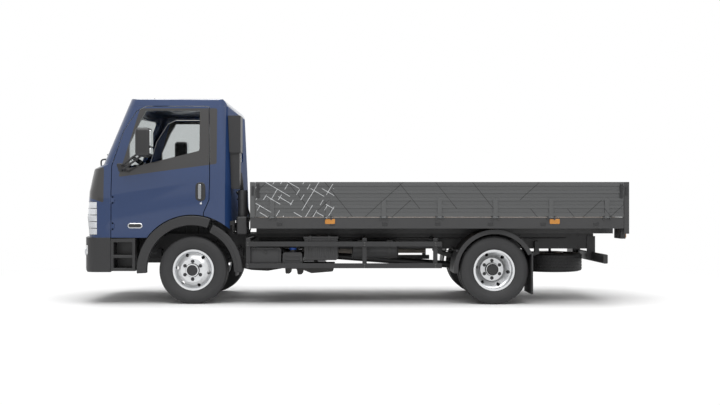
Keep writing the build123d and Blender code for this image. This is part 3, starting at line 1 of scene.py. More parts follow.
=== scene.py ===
import json
from math import cos, pi, radians, sin

import bmesh
import bpy
from mathutils import Matrix, Vector

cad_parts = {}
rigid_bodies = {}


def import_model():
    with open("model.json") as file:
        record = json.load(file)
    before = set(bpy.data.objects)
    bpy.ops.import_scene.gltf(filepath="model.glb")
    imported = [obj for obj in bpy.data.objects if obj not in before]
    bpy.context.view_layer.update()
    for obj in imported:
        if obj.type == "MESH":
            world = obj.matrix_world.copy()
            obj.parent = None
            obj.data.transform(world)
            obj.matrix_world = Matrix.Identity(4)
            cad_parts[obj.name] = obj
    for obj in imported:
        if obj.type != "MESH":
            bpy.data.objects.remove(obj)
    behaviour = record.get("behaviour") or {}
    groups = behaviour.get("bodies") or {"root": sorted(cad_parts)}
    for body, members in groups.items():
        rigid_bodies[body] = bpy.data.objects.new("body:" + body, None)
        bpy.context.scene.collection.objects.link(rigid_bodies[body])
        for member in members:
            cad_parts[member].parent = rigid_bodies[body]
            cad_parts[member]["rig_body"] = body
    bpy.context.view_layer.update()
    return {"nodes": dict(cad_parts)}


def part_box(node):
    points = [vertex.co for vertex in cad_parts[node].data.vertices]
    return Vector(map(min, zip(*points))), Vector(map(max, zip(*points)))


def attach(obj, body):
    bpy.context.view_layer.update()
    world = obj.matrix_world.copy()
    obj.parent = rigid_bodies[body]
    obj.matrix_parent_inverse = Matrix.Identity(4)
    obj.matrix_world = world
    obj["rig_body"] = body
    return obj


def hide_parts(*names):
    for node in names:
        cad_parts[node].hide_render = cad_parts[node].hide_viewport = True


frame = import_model()
nodes = frame["nodes"]

# The truck stands as the CAD frame does, in metres: X forward, Y to its left, Z up.

# Road tyres. Black moulded rubber on 17.5 inch rims, four grooves round the tread with
# blocks between them. One tyre in front on each side, two side by side at the rear.


def feed(tree, socket, value):
    """Links a socket to another one, or sets it to a plain value."""
    if isinstance(value, bpy.types.NodeSocket):
        tree.links.new(value, socket)
    else:
        socket.default_value = value


def add_node(tree, kind, **inputs):
    """A node of a kind with its inputs fed."""
    node = tree.nodes.new(kind)
    for label, value in inputs.items():
        feed(tree, node.inputs[label], value)
    return node


def mix_colours(tree, share, first, second):
    """A blend of two colours, each plain or a socket."""
    mix = tree.nodes.new("ShaderNodeMix")
    mix.data_type = "RGBA"
    feed(tree, mix.inputs["Factor"], share)
    for label, colour in (("A", first), ("B", second)):
        plain = isinstance(colour, (tuple, list))
        feed(tree, mix.inputs[label], (*colour, 1) if plain else colour)
    return mix.outputs["Result"]


def make_finish(name, colour, roughness, metallic=0.0, coat=0.0, grain=0.0, grain_scale=400.0, wear=0.0):
    """A plain finish. Grain is its fine bump, wear how much its colour changes in patches."""
    material = bpy.data.materials.new(name)
    material.use_nodes = True
    tree = material.node_tree
    shader = tree.nodes["Principled BSDF"]
    shader.inputs["Base Color"].default_value = (*colour, 1)
    shader.inputs["Roughness"].default_value = roughness
    shader.inputs["Metallic"].default_value = metallic
    shader.inputs["Coat Weight"].default_value = coat
    shader.inputs["Coat Roughness"].default_value = 0.06
    place = tree.nodes.new("ShaderNodeTexCoord").outputs["Object"]
    if grain:
        noise = add_node(tree, "ShaderNodeTexNoise", Vector=place, Scale=grain_scale, Detail=2)
        bump = add_node(tree, "ShaderNodeBump", Height=noise.outputs["Fac"], Strength=grain, Distance=0.001)
        tree.links.new(bump.outputs["Normal"], shader.inputs["Normal"])
    if wear:
        patches = add_node(tree, "ShaderNodeTexNoise", Vector=place, Scale=6, Detail=5)
        darker, lighter = [c * (1 - wear) for c in colour], [min(1, c * (1 + wear)) for c in colour]
        worn = mix_colours(tree, patches.outputs["Fac"], darker, lighter)
        tree.links.new(worn, shader.inputs["Base Color"])
    return material


def keep_piece(name, mesh, finish, body, bevel=0.0, smooth=35):
    """Turns a mesh into a finished piece that rides on its body."""
    mesh.name = name
    mesh.materials.clear()
    mesh.materials.append(finish)
    mesh.shade_smooth()
    mesh.set_sharp_from_angle(angle=radians(smooth))
    piece = bpy.data.objects.new(name, mesh)
    bpy.context.scene.collection.objects.link(piece)
    if bevel:
        rounding = piece.modifiers.new("rounding", "BEVEL")
        rounding.width = bevel
        rounding.segments = 2
        rounding.limit_method = "ANGLE"
        rounding.angle_limit = radians(smooth)
    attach(piece, body)
    return piece


def mesh_of(bm):
    """Ends a bmesh and gives its mesh, faces outwards."""
    bmesh.ops.recalc_face_normals(bm, faces=bm.faces)
    mesh = bpy.data.meshes.new("shape")
    bm.to_mesh(mesh)
    bm.free()
    return mesh


def add_lathe(bm, profile, steps, closed=True):
    """A round shape about the Y axis. The profile's points are (along the axle, radius)."""
    rings = []
    for step in range(steps):
        a = 2 * pi * step / steps
        rings.append([bm.verts.new((r * cos(a), y, r * sin(a))) for y, r in profile])
    count = len(profile)
    for step in range(steps):
        near, far = rings[step], rings[(step + 1) % steps]
        for i in range(count if closed else count - 1):
            j = (i + 1) % count
            bm.faces.new((near[i], near[j], far[j], far[i]))
    if not closed:
        bm.faces.new([ring[0] for ring in rings])
        bm.faces.new([ring[-1] for ring in rings])


def add_plate(bm, outline, low, high, axis="y"):
    """A flat plate between two places on an axis. Its outline is in the other two axes."""
    at = "xyz".index(axis)
    rings = [[bm.verts.new((*spot[:at], w, *spot[at:])) for spot in outline] for w in (low, high)]
    bm.faces.new(rings[0])
    bm.faces.new(rings[1])
    for i in range(len(outline)):
        j = (i + 1) % len(outline)
        bm.faces.new((rings[0][i], rings[0][j], rings[1][j], rings[1][i]))


def start_tree(name, sockets):
    """An empty Geometry Nodes tree with named inputs and one geometry output."""
    tree = bpy.data.node_groups.new(name, "GeometryNodeTree")
    tree.interface.new_socket("Geometry", in_out="OUTPUT", socket_type="NodeSocketGeometry")
    for label, kind in sockets.items():
        tree.interface.new_socket(label, in_out="INPUT", socket_type="NodeSocket" + kind)
    return tree, tree.nodes.new("NodeGroupInput"), tree.nodes.new("NodeGroupOutput")


def end_tree(tree, given, points, rotation, result):
    """Puts the piece on the points, makes it real and gives it its finish."""
    source = add_node(tree, "GeometryNodeObjectInfo", Object=given.outputs["Piece"])
    copies = add_node(tree, "GeometryNodeInstanceOnPoints", Points=points,
                      Instance=source.outputs["Geometry"], Rotation=rotation)
    real = add_node(tree, "GeometryNodeRealizeInstances", Geometry=copies.outputs["Instances"])
    finished = add_node(tree, "GeometryNodeSetMaterial", Geometry=real.outputs["Geometry"],
                        Material=given.outputs["Finish"])
    tree.links.new(finished.outputs["Geometry"], result.inputs["Geometry"])


def maths(tree, operation, *values):
    """A math node fed by sockets or plain numbers."""
    node = tree.nodes.new("ShaderNodeMath")
    node.operation = operation
    for socket, value in zip(node.inputs, values):
        feed(tree, socket, value)
    return node.outputs[0]


def vector_sum(tree, first, second):
    """The sum of two vector sockets."""
    node = tree.nodes.new("ShaderNodeVectorMath")
    tree.links.new(first, node.inputs[0])
    tree.links.new(second, node.inputs[1])
    return node.outputs[0]


ring_tree, given, result = start_tree("round an axle", {
    "Piece": "Object", "Count": "Int", "Radius": "Float", "Centre": "Vector",
    "First": "Float", "Step": "Float", "Finish": "Material",
})
index = ring_tree.nodes.new("GeometryNodeInputIndex").outputs[0]
angle = maths(ring_tree, "MULTIPLY_ADD", index, given.outputs["Step"], given.outputs["First"])
across = maths(ring_tree, "MULTIPLY", given.outputs["Radius"], maths(ring_tree, "SINE", angle))
upwards = maths(ring_tree, "MULTIPLY", given.outputs["Radius"], maths(ring_tree, "COSINE", angle))
spot = add_node(ring_tree, "ShaderNodeCombineXYZ", X=across, Z=upwards).outputs[0]
points = add_node(ring_tree, "GeometryNodePoints", Count=given.outputs["Count"],
                  Position=vector_sum(ring_tree, spot, given.outputs["Centre"]))
facing = add_node(ring_tree, "ShaderNodeCombineXYZ", Y=angle)
end_tree(ring_tree, given, points.outputs[0], facing.outputs[0], result)


def spread(tree, pattern, finish, **values):
    """Runs a tree with a pattern mesh as its piece and gives the plain mesh that it makes."""
    piece = bpy.data.objects.new("pattern", pattern)
    holder = bpy.data.objects.new("holder", bpy.data.meshes.new("holder"))
    for o in (piece, holder):
        bpy.context.scene.collection.objects.link(o)
    modifier = holder.modifiers.new("spread", "NODES")
    modifier.node_group = tree
    values = {"Piece": piece, "Finish": finish, **values}
    for item in tree.interface.items_tree:
        if item.in_out == "INPUT":
            modifier[item.identifier] = values[item.name]
    bpy.context.view_layer.update()
    depsgraph = bpy.context.evaluated_depsgraph_get()
    mesh = bpy.data.meshes.new_from_object(holder.evaluated_get(depsgraph), depsgraph=depsgraph)
    holder.modifiers.clear()
    for o in (piece, holder):
        bpy.data.objects.remove(o)
    return mesh


def add_mesh(bm, mesh, turn=Matrix.Identity(4)):
    """Adds a finished mesh to a bmesh, turned into place."""
    mesh.transform(turn)
    bm.from_mesh(mesh)
    bpy.data.meshes.remove(mesh)


tyre_radius = 0.3908
groove_depth = 0.011
tyre_half_width = 0.1132
bead_y = 0.0755
bead_radius = 0.2229
flange_radius = 0.2374
sidewall_start = (0.0895, 0.2492)
sidewall_end = (0.1035, 0.3765)
sidewall_bulge = 0.0165
sidewall_steps = 18
sidewall_ridges = (2, 3, 12, 14)
ridge_height = 0.0014
shoulder = [(0.1005, 0.3818), (0.093, 0.3862)]
groove_ys = (-0.059, -0.0205, 0.0205, 0.059)
groove_half = 0.0048
tread_half = 0.088
blocks_round = 70
block_lean = 0.006
block_gap = 0.0028
block_foot = 0.002
block_radius = tyre_radius - 0.0006
lathe_steps = 96

rubber = make_finish("tyre_rubber", (0.021, 0.021, 0.022), 0.62, grain=0.25, grain_scale=700, wear=0.18)

sidewall = []
for step in range(sidewall_steps + 1):
    share = step / sidewall_steps
    y = sidewall_start[0] + (sidewall_end[0] - sidewall_start[0]) * share + sidewall_bulge * sin(pi * share)
    y += ridge_height if step in sidewall_ridges else 0
    sidewall.append((y, sidewall_start[1] + (sidewall_end[1] - sidewall_start[1]) * share))
half_tyre = [(bead_y, bead_radius), (bead_y, flange_radius), *sidewall]
half_tyre += [*shoulder, (tread_half, tyre_radius - groove_depth)]
tyre_profile = half_tyre + [(-y, r) for y, r in reversed(half_tyre)]


def tread_block(width):
    """One leaning tread block with its foot in the tyre, top outwards along Z."""
    half = (2 * pi * tyre_radius / blocks_round - block_gap) / 2
    corners = [
        (-half - block_lean, -width / 2), (half - block_lean, -width / 2),
        (half + block_lean, width / 2), (-half + block_lean, width / 2),
    ]
    bm = bmesh.new()
    add_plate(bm, corners, -groove_depth - block_foot, 0, axis="z")
    return mesh_of(bm)


def tyre_mesh(y_places, centre, turn=Matrix.Identity(4)):
    """One or more tyres on one axle about the centre, with the Y's of their middles."""
    edges = [-tread_half, *groove_ys, tread_half]
    bm = bmesh.new()
    for y in y_places:
        add_lathe(bm, [(y + along, r) for along, r in tyre_profile], lathe_steps)
        for row, (low, high) in enumerate(zip(edges, edges[1:])):
            low += groove_half if row else 0
            high -= groove_half if row < len(groove_ys) else 0
            add_mesh(bm, spread(
                ring_tree, tread_block(high - low), rubber, Count=blocks_round, Radius=block_radius,
                Centre=(0, y + (low + high) / 2, 0), First=(row % 2) * pi / blocks_round,
                Step=2 * pi / blocks_round))
    mesh = mesh_of(bm)
    mesh.transform(Matrix.Translation(centre) @ turn)
    return mesh


for node in ("tyre_front_left", "tyre_front_right", "tyres_rear_left", "tyres_rear_right"):
    low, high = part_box(node)
    twin_y = (high.y - low.y) / 2 - tyre_half_width
    places = [-twin_y, twin_y] if "rear" in node else [0]
    tyre = keep_piece(node + "_moulded", tyre_mesh(places, (low + high) / 2), rubber,
                      nodes[node]["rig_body"], smooth=25)
    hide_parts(node)

# Spare tyre. The same moulded tyre on a rim of its own, lying flat under the end of the
# frame.
low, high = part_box("spare_tyre")
flat = Matrix.Rotation(radians(90), 4, "X")
spare = keep_piece("spare_tyre_moulded", tyre_mesh([0], (low + high) / 2, flat), rubber, "chassis",
                   smooth=25)
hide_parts("spare_tyre")

# Wheels. Pressed steel discs welded in rolled rims, painted silver, on the CAD shapes
# with their vent holes. Six nuts on studs hold each one to its black hub.

merge_distance = 1e-5
flat_angle = radians(0.15)


def dress(node, finish, slot, bevel=0.0, smooth=32):
    """A smooth copy of a CAD node in its finish, in the node's place."""
    mesh = nodes[node].data.copy()
    bm = bmesh.new()
    bm.from_mesh(mesh)
    bmesh.ops.remove_doubles(bm, verts=bm.verts, dist=merge_distance)
    bmesh.ops.dissolve_limit(bm, angle_limit=flat_angle, verts=bm.verts, edges=bm.edges)
    bm.to_mesh(mesh)
    bm.free()
    for name in [layer.name for layer in mesh.uv_layers]:
        mesh.uv_layers.remove(mesh.uv_layers[name])
    if mesh.has_custom_normals:
        mesh.attributes.remove(mesh.attributes["custom_normal"])
    piece = keep_piece(node + "_finished", mesh, finish, nodes[node]["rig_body"], bevel, smooth)
    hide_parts(node)
    return piece


wheel_silver = make_finish("wheel_silver", (0.68, 0.69, 0.70), 0.3, metallic=0.75, grain=0.05, wear=0.06)
hub_black = make_finish("hub_black", (0.018, 0.018, 0.019), 0.42, grain=0.1)
nut_steel = make_finish("nut_steel", (0.05, 0.05, 0.052), 0.38, metallic=0.6)
nut_count = 6
nut_circle_radius = 0.1025
nut_parts = [
    # a washer, a hexagonal nut and the stud's end: Y from and to, radius, sides
    (-0.004, 0.002, 0.0205, 20), (0.002, 0.021, 0.0165, 6), (0.021, 0.034, 0.0085, 12),
]
hub_radius = 0.0745
hub_reach = {"wheel_front": 0.034, "wheels_rear": 0.068}
disc_face_y = {"wheel_front": 0.955, "wheels_rear": 0.769}
cap_bolts = 8
cap_circle_radius = 0.05
valve_foot, valve_tip, valve_radius = (0.05, -0.035, 0.168), (0.056, 0.012, 0.176), 0.0045
cap_bolt_radius, cap_bolt_height = 0.0065, 0.007


def add_rod(bm, start, end, radius, sides=20, end_radius=None):
    """A round bar, or a cone where its end has a radius of its own."""
    a, b = Vector(start), Vector(end)
    across = (b - a).normalized().orthogonal().normalized()
    other = (b - a).normalized().cross(across)
    rings = []
    for spot, r in ((a, radius), (b, radius if end_radius is None else end_radius)):
        angles = [2 * pi * i / sides for i in range(sides)]
        rings.append([bm.verts.new(spot + (across * cos(t) + other * sin(t)) * r) for t in angles])
    bm.faces.new(rings[0])
    bm.faces.new(rings[1])
    for i in range(sides):
        j = (i + 1) % sides
        bm.faces.new((rings[0][i], rings[0][j], rings[1][j], rings[1][i]))


def wheel_nut():
    """A wheel nut on the origin, its axis along Y and its outer end at +Y."""
    bm = bmesh.new()
    for y_low, y_high, radius, sides in nut_parts:
        add_rod(bm, (0, y_low, 0), (0, y_high, 0), radius, sides)
    return mesh_of(bm)


def hub_cap(reach):
    """The hub's turned cap: stepped, with a domed end. Y runs outwards from the disc."""
    radius = hub_radius
    profile = [
        (-0.01, 0.0005), (-0.01, radius + 0.006), (0.006, radius + 0.006), (0.009, radius),
        (reach - 0.012, radius), (reach - 0.004, radius - 0.006), (reach, radius - 0.018),
        (reach + 0.003, radius * 0.5), (reach + 0.0045, 0.0005),
    ]
    bm = bmesh.new()
    add_lathe(bm, profile, 48, closed=False)
    return bm


for node in ("wheel_front_left", "wheel_front_right", "wheels_rear_left", "wheels_rear_right"):
    dress(node, wheel_silver, "wheel_paint", smooth=30)
    kind, side_name = node.rsplit("_", 1)
    side = 1 if side_name == "left" else -1
    body = nodes[node]["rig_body"]
    low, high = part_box(node)
    out = Matrix.Translation(((low.x + high.x) / 2, side * disc_face_y[kind], (low.z + high.z) / 2))
    if side < 0:
        out = out @ Matrix.Rotation(pi, 4, "Z")
    nuts = spread(ring_tree, wheel_nut(), nut_steel, Count=nut_count, Radius=nut_circle_radius,
                  Centre=(0, 0, 0), First=0.0, Step=2 * pi / nut_count)
    nuts.transform(out)
    keep_piece(node + "_nuts", nuts, nut_steel, body)
    bm = hub_cap(hub_reach[kind])
    bolt = bmesh.new()
    add_rod(bolt, (0, -0.002, 0), (0, cap_bolt_height, 0), cap_bolt_radius, 6)
    add_mesh(bm, spread(
        ring_tree, mesh_of(bolt), hub_black, Count=cap_bolts, Radius=cap_circle_radius,
        Centre=(0, hub_reach[kind] - 0.001, 0), First=0.2, Step=2 * pi / cap_bolts))
    add_rod(bm, valve_foot, valve_tip, valve_radius, 10)
    caps = mesh_of(bm)
    caps.transform(out)
    keep_piece(node + "_hub_cap", caps, hub_black, body)
dress("spare_rim", wheel_silver, "wheel_paint")

# Ladder frame. Pressed channels joined by cross members, welded and riveted, painted
# black. The rivet rows run along both webs, on the outside.
row_tree, given, result = start_tree("in a row", {
    "Piece": "Object", "Count": "Int", "Start": "Vector", "Pitch": "Vector", "Finish": "Material",
})
index = row_tree.nodes.new("GeometryNodeInputIndex").outputs[0]
step = row_tree.nodes.new("ShaderNodeVectorMath")
step.operation = "SCALE"
row_tree.links.new(given.outputs["Pitch"], step.inputs[0])
row_tree.links.new(index, step.inputs["Scale"])
points = add_node(row_tree, "GeometryNodePoints", Count=given.outputs["Count"],
                  Position=vector_sum(row_tree, step.outputs[0], given.outputs["Start"]))
end_tree(row_tree, given, points.outputs[0], (0, 0, 0), result)

chassis_black = make_finish("chassis_black", (0.016, 0.016, 0.017), 0.46,
                            grain=0.15, grain_scale=250, wear=0.25)
cast_black = make_finish("cast_black", (0.022, 0.021, 0.02), 0.62, grain=0.5, grain_scale=300, wear=0.3)
bolt_grey = make_finish("bolt_grey", (0.09, 0.09, 0.088), 0.45, metallic=0.7)
dress("ladder_frame", chassis_black, "frame_paint", bevel=0.0015)
rail_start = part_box("ladder_frame")[0].x
rail_y = 0.400
rivet_inset = 0.06
rivet_pitch = 0.118
rivet_count = 47
rivet_radius, rivet_height = 0.0085, 0.008
rivet_rows_z = (0.64, 0.778)


def bolt_head(radius, height, axis="Y"):
    """A hexagonal head standing up along an axis from the origin."""
    end = {"X": (height, 0, 0), "Y": (0, height, 0), "Z": (0, 0, height)}[axis]
    back = tuple(-0.3 * v for v in end)
    bm = bmesh.new()
    add_rod(bm, back, tuple(0.25 * v for v in end), radius * 1.25, 14)
    add_rod(bm, back, end, radius, 6)
    return mesh_of(bm)


bm = bmesh.new()
for side in (1, -1):
    for z in rivet_rows_z:
        add_mesh(bm, spread(
            row_tree, bolt_head(rivet_radius, side * rivet_height), chassis_black, Count=rivet_count,
            Start=(rail_start + rivet_inset, side * rail_y, z), Pitch=(rivet_pitch, 0, 0)))
keep_piece("frame_rivets", mesh_of(bm), chassis_black, "chassis")

# Axles, springs and dampers. The forged front beam and the rear banjo axle hang on leaf
# springs, held by U bolts, with a telescopic damper at each wheel and brake chambers.
for node in ("front_axle", "rear_axle", "knuckle_left", "knuckle_right"):
    dress(node, cast_black, "cast_parts", bevel=0.003)
dress("tie_rod", chassis_black, "frame_paint")
dress("leaf_springs", chassis_black, "frame_paint", bevel=0.002)
dress("prop_shaft", chassis_black, "frame_paint", bevel=0.002)
front_x, rear_x, axle_z = 1.812, -1.658, 0.391
spring_seats = [(front_x, 0.355, 0.393), (rear_x, 0.4355, 0.4533)]
spring_wall = 0.042
clip_dx, clip_dy, clip_radius = 0.048, 0.041, 0.007
clip_rise, clip_drop, thread_end = 0.016, 0.12, 0.01


def add_box(bm, low, high):
    """A box between two corners."""
    x, y, z = zip(low, high)
    spots = [bm.verts.new((x[i], y[j], z[k])) for i in (0, 1) for j in (0, 1) for k in (0, 1)]
    for face in ((0, 1, 3, 2), (4, 6, 7, 5), (0, 4, 5, 1), (2, 3, 7, 6), (0, 2, 6, 4), (1, 5, 7, 3)):
        bm.faces.new([spots[i] for i in face])


bm = bmesh.new()
for axle_x, spring_y, seat_z in spring_seats:
    top = seat_z + spring_wall + clip_rise
    for side in (1, -1):
        y = side * spring_y
        for x in (axle_x - clip_dx, axle_x + clip_dx):
            for leg_y in (y - clip_dy, y + clip_dy):
                add_rod(bm, (x, leg_y, seat_z - clip_drop), (x, leg_y, top + thread_end), clip_radius, 10)
            add_rod(bm, (x, y - clip_dy, top), (x, y + clip_dy, top), clip_radius, 10)
        add_box(bm, (axle_x - 0.07, y - 0.05, seat_z - 0.012 + spring_wall),
                (axle_x + 0.07, y + 0.05, seat_z + spring_wall + 0.008))
keep_piece("spring_bolts", mesh_of(bm), bolt_grey, "chassis")

# helper leaves under the main ones, each shorter than the last
leaf_halves = (0.42, 0.48)
leaf_count = 4
leaf_shortening = 0.17
leaf_camber = 0.055
leaf_half_width = 0.034
bm = bmesh.new()
for (axle_x, spring_y, seat_z), half in zip(spring_seats, leaf_halves):
    for side in (1, -1):
        for leaf in range(leaf_count):
            reach = half * (1 - leaf_shortening * leaf)
            z = seat_z + spring_wall + 0.0005 - 0.0005 * leaf
            tip = z + leaf_camber * (reach / half) ** 2
            foot = z + 0.01 * leaf
            add_plate(bm, [
                (axle_x - reach, tip + 0.012), (axle_x, foot + 0.004), (axle_x + reach, tip + 0.012),
                (axle_x + reach, tip + 0.021), (axle_x, foot + 0.013), (axle_x - reach, tip + 0.021),
            ], side * spring_y - leaf_half_width, side * spring_y + leaf_half_width)
keep_piece("spring_leaves", mesh_of(bm), chassis_black, "chassis", bevel=0.001)

bm = bmesh.new()
dampers = [
    # upper eye, lower eye
    ((front_x - 0.2, 0.455, 0.70), (front_x - 0.07, 0.47, 0.36)),
    ((rear_x + 0.34, 0.30, 0.72), (rear_x + 0.06, 0.30, 0.36)),
]
cover_radius, damper_radius, eye_radius = 0.034, 0.026, 0.024
eye_half = Vector((0, 0.03, 0))
for top, foot in dampers:
    for side in (1, -1):
        a = Vector((top[0], side * top[1], top[2]))
        b = Vector((foot[0], side * foot[1], foot[2]))
        add_rod(bm, a, a.lerp(b, 0.55), cover_radius, 20)
        add_rod(bm, a.lerp(b, 0.5), b, damper_radius, 20)
        for eye in (a, b):
            add_rod(bm, eye - eye_half, eye + eye_half, eye_radius, 16)
keep_piece("dampers", mesh_of(bm), chassis_black, "chassis", bevel=0.002)

chamber_y = 0.27
chamber_parts = [
    # front half, clamp, rear half, push rod: how far behind the axle and how high, from and to
    ((0.13, 0.43), (0.21, 0.45), 0.072, 28), ((0.21, 0.45), (0.225, 0.454), 0.08, 28),
    ((0.225, 0.454), (0.33, 0.48), 0.072, 28), ((0.06, 0.4), (0.14, 0.43), 0.022, 12),
]
bm = bmesh.new()
for side in (1, -1):
    for (near, near_z), (far, far_z), radius, sides in chamber_parts:
        add_rod(bm, (rear_x - near, side * chamber_y, near_z), (rear_x - far, side * chamber_y, far_z),
                radius, sides)
keep_piece("brake_chambers", mesh_of(bm), chassis_black, "chassis", bevel=0.004)

# Engine and gearbox. One block in cast iron grey, with cast ribs, an oil filter and the
# shift rod's housing, and the pan and tray that show from beside and below the cab.
engine_grey = make_finish("engine_grey", (0.05, 0.052, 0.053), 0.55, metallic=0.3, grain=0.4, wear=0.3)
dress("engine", engine_grey, "cast_parts", bevel=0.012)
dress("radiator", chassis_black, "bare_metal", bevel=0.004)
rib_rows = [
    # first X, pitch, count, width of a rib, half its length across, lowest and highest Z
    (1.53, 0.16, 6, 0.09, 0.303, 0.56, 0.94), (0.90, 0.12, 5, 0.018, 0.18, 0.52, 0.75),
]
# start, end, radius
oil_filter = ((1.62, 0.30, 0.66), (1.62, 0.30, 0.52), 0.048)
shift_housing = ((1.0, -0.12, 0.62), (1.0, 0.19, 0.62), 0.03)
bm = bmesh.new()
for first, pitch, count, width, half, z_low, z_high in rib_rows:
    for i in range(count):
        x = first + i * pitch
        add_box(bm, (x, -half, z_low), (x + width, half, z_high))
add_rod(bm, *oil_filter, 24)
add_rod(bm, *shift_housing)
keep_piece("engine_ribs", mesh_of(bm), engine_grey, "chassis", bevel=0.004)
pan_outline = [(1.42, 0.56), (1.40, 0.385), (1.22, 0.345), (1.02, 0.335), (0.84, 0.365), (0.80, 0.53)]
tray_outline = [(0.76, 0.47), (0.75, 0.345), (0.70, 0.345), (0.69, 0.40), (0.62, 0.40), (0.61, 0.335),
                (0.56, 0.335), (0.55, 0.39), (0.45, 0.35), (0.20, 0.37), (0.18, 0.47)]
bm = bmesh.new()
add_plate(bm, pan_outline, -0.17, 0.17)
add_plate(bm, tray_outline, 0.58, 0.86)
keep_piece("gearbox_pan", mesh_of(bm), cast_black, "chassis", bevel=0.01)

# Fuel tank. Brushed aluminium, on the frame's right, with a gripped filler cap. Two black
# steel straps hold it to its brackets.
tank_metal = make_finish("tank_metal", (0.6, 0.6, 0.61), 0.34, metallic=0.95, grain=0.08, wear=0.06)
strap_black = make_finish("strap_black", (0.02, 0.02, 0.02), 0.5)
dress("fuel_tank", tank_metal, "bare_metal", bevel=0.004)
strap_corner = 0.063
strap_half = 0.025
strap_corners = [(-0.90, 0.73, 90), (-0.90, 0.46, 180), (-0.56, 0.46, 270), (-0.56, 0.73, 0)]
strap_outline = []
for y, z, start in strap_corners:
    for angle in range(start, start + 91, 15):
        a = radians(angle)
        strap_outline.append((y + cos(a) * strap_corner, z + sin(a) * strap_corner))
bm = bmesh.new()
for x in (0.46, 0.90):
    add_plate(bm, strap_outline, x - strap_half, x + strap_half, axis="x")
keep_piece("tank_straps", mesh_of(bm), strap_black, "chassis", smooth=20)
cap_x, cap_y, cap_radius, cap_grips = 0.94, -0.87, 0.046, 10
bm = bmesh.new()
add_rod(bm, (cap_x, cap_y, 0.77), (cap_x, cap_y, 0.838), cap_radius, 28)
for k in range(cap_grips):
    a = 2 * pi * k / cap_grips
    x, y = cap_x + cos(a) * cap_radius, cap_y + sin(a) * cap_radius
    add_rod(bm, (x, y, 0.80), (x, y, 0.838), 0.005, 8)
keep_piece("tank_cap", mesh_of(bm), strap_black, "chassis", bevel=0.002)

# Battery box, reducing agent tank and tool box on the left. Moulded black plastic with
# ribbed lids, rubber straps and a blue filler cap on the agent tank.
box_plastic = make_finish("box_plastic", (0.026, 0.026, 0.027), 0.5, grain=0.35, grain_scale=500, wear=0.12)
cap_blue = make_finish("cap_blue", (0.01, 0.06, 0.3), 0.4)
dress("side_boxes", box_plastic, "guard_plastic", bevel=0.003)
lid_boxes = [
    # the battery box's lid and the tool box's door
    ((0.132, 0.56, 0.758), (0.533, 1.016, 0.782)), ((0.815, 0.995, 0.478), (1.125, 1.006, 0.628)),
]
battery_ribs, battery_rib_x, battery_rib_pitch = 7, 0.175, 0.05
agent_ribs, agent_rib_z, agent_rib_pitch = 3, 0.468, 0.04
bm = bmesh.new()
for low, high in lid_boxes:
    add_box(bm, low, high)
for i in range(battery_ribs):
    x = battery_rib_x + i * battery_rib_pitch
    add_box(bm, (x, 1.004, 0.545), (x + 0.022, 1.016, 0.735))
for i in range(agent_ribs):
    z = agent_rib_z + i * agent_rib_pitch
    add_box(bm, (0.575, 0.999, z), (0.745, 1.011, z + 0.018))
keep_piece("box_lids", mesh_of(bm), box_plastic, "chassis", bevel=0.003)
lock_x, lock_z = 0.97, 0.60
bm = bmesh.new()
for x in (0.225, 0.44):
    add_box(bm, (x, 1.012, 0.62), (x + 0.028, 1.022, 0.79))
add_rod(bm, (lock_x, 1.004, lock_z), (lock_x, 1.014, lock_z), 0.021, 20)
for x in (0.86, 1.08):
    add_box(bm, (x - 0.012, 1.004, 0.612), (x + 0.012, 1.012, 0.640))
keep_piece("box_latches", mesh_of(bm), strap_black, "chassis", bevel=0.002)
bm = bmesh.new()
add_rod(bm, (0.66, 0.90, 0.625), (0.66, 0.90, 0.648), 0.041, 28)
keep_piece("agent_cap", mesh_of(bm), cap_blue, "chassis", bevel=0.003)

# Exhaust. A stainless steel silencer dulled by heat, held by three clamps, with its outlet
# pipe bent towards the frame.
exhaust_steel = make_finish("exhaust_steel", (0.26, 0.235, 0.21), 0.5, metallic=0.85, grain=0.2, wear=0.3)
dress("exhaust", exhaust_steel, "bare_metal", bevel=0.002)
silencer_y, silencer_z = -0.56, 0.56
clamp_xs, clamp_width, clamp_radius = (-0.38, -0.1, 0.19), 0.022, 0.1145
outlet_x = 0.30
bm = bmesh.new()
for x in clamp_xs:
    add_rod(bm, (x, silencer_y, silencer_z), (x + clamp_width, silencer_y, silencer_z), clamp_radius, 40)
add_rod(bm, (0.24, silencer_y, silencer_z), (outlet_x, silencer_y, silencer_z), 0.05, 24)
add_rod(bm, (outlet_x, silencer_y, silencer_z), (0.62, -0.40, 0.60), 0.038, 24)
keep_piece("exhaust_clamps", mesh_of(bm), exhaust_steel, "chassis", bevel=0.002)

# Air reservoirs. Welded steel drums with domed ends, straps and drain valves, with the
# air lines clipped along the rail.
dress("air_tanks", chassis_black, "frame_paint", bevel=0.0)
drum_ys, drum_z = (0.56, 0.79), 0.622
drum_strap_xs, drum_strap_width, drum_strap_radius = (-0.47, -0.13), 0.03, 0.1025
hanger_xs, hanger_half = (-0.12, -0.46), 0.035
bm = bmesh.new()
for y in drum_ys:
    for x in drum_strap_xs:
        add_rod(bm, (x, y, drum_z), (x + drum_strap_width, y, drum_z), drum_strap_radius, 36)
    add_rod(bm, (-0.29, y, 0.53), (-0.29, y, 0.505), 0.012, 12)
for x in hanger_xs:
    add_box(bm, (x - hanger_half, 0.77, 0.70), (x + hanger_half, 0.82, 0.735))
keep_piece("air_tank_straps", mesh_of(bm), strap_black, "chassis", bevel=0.002)


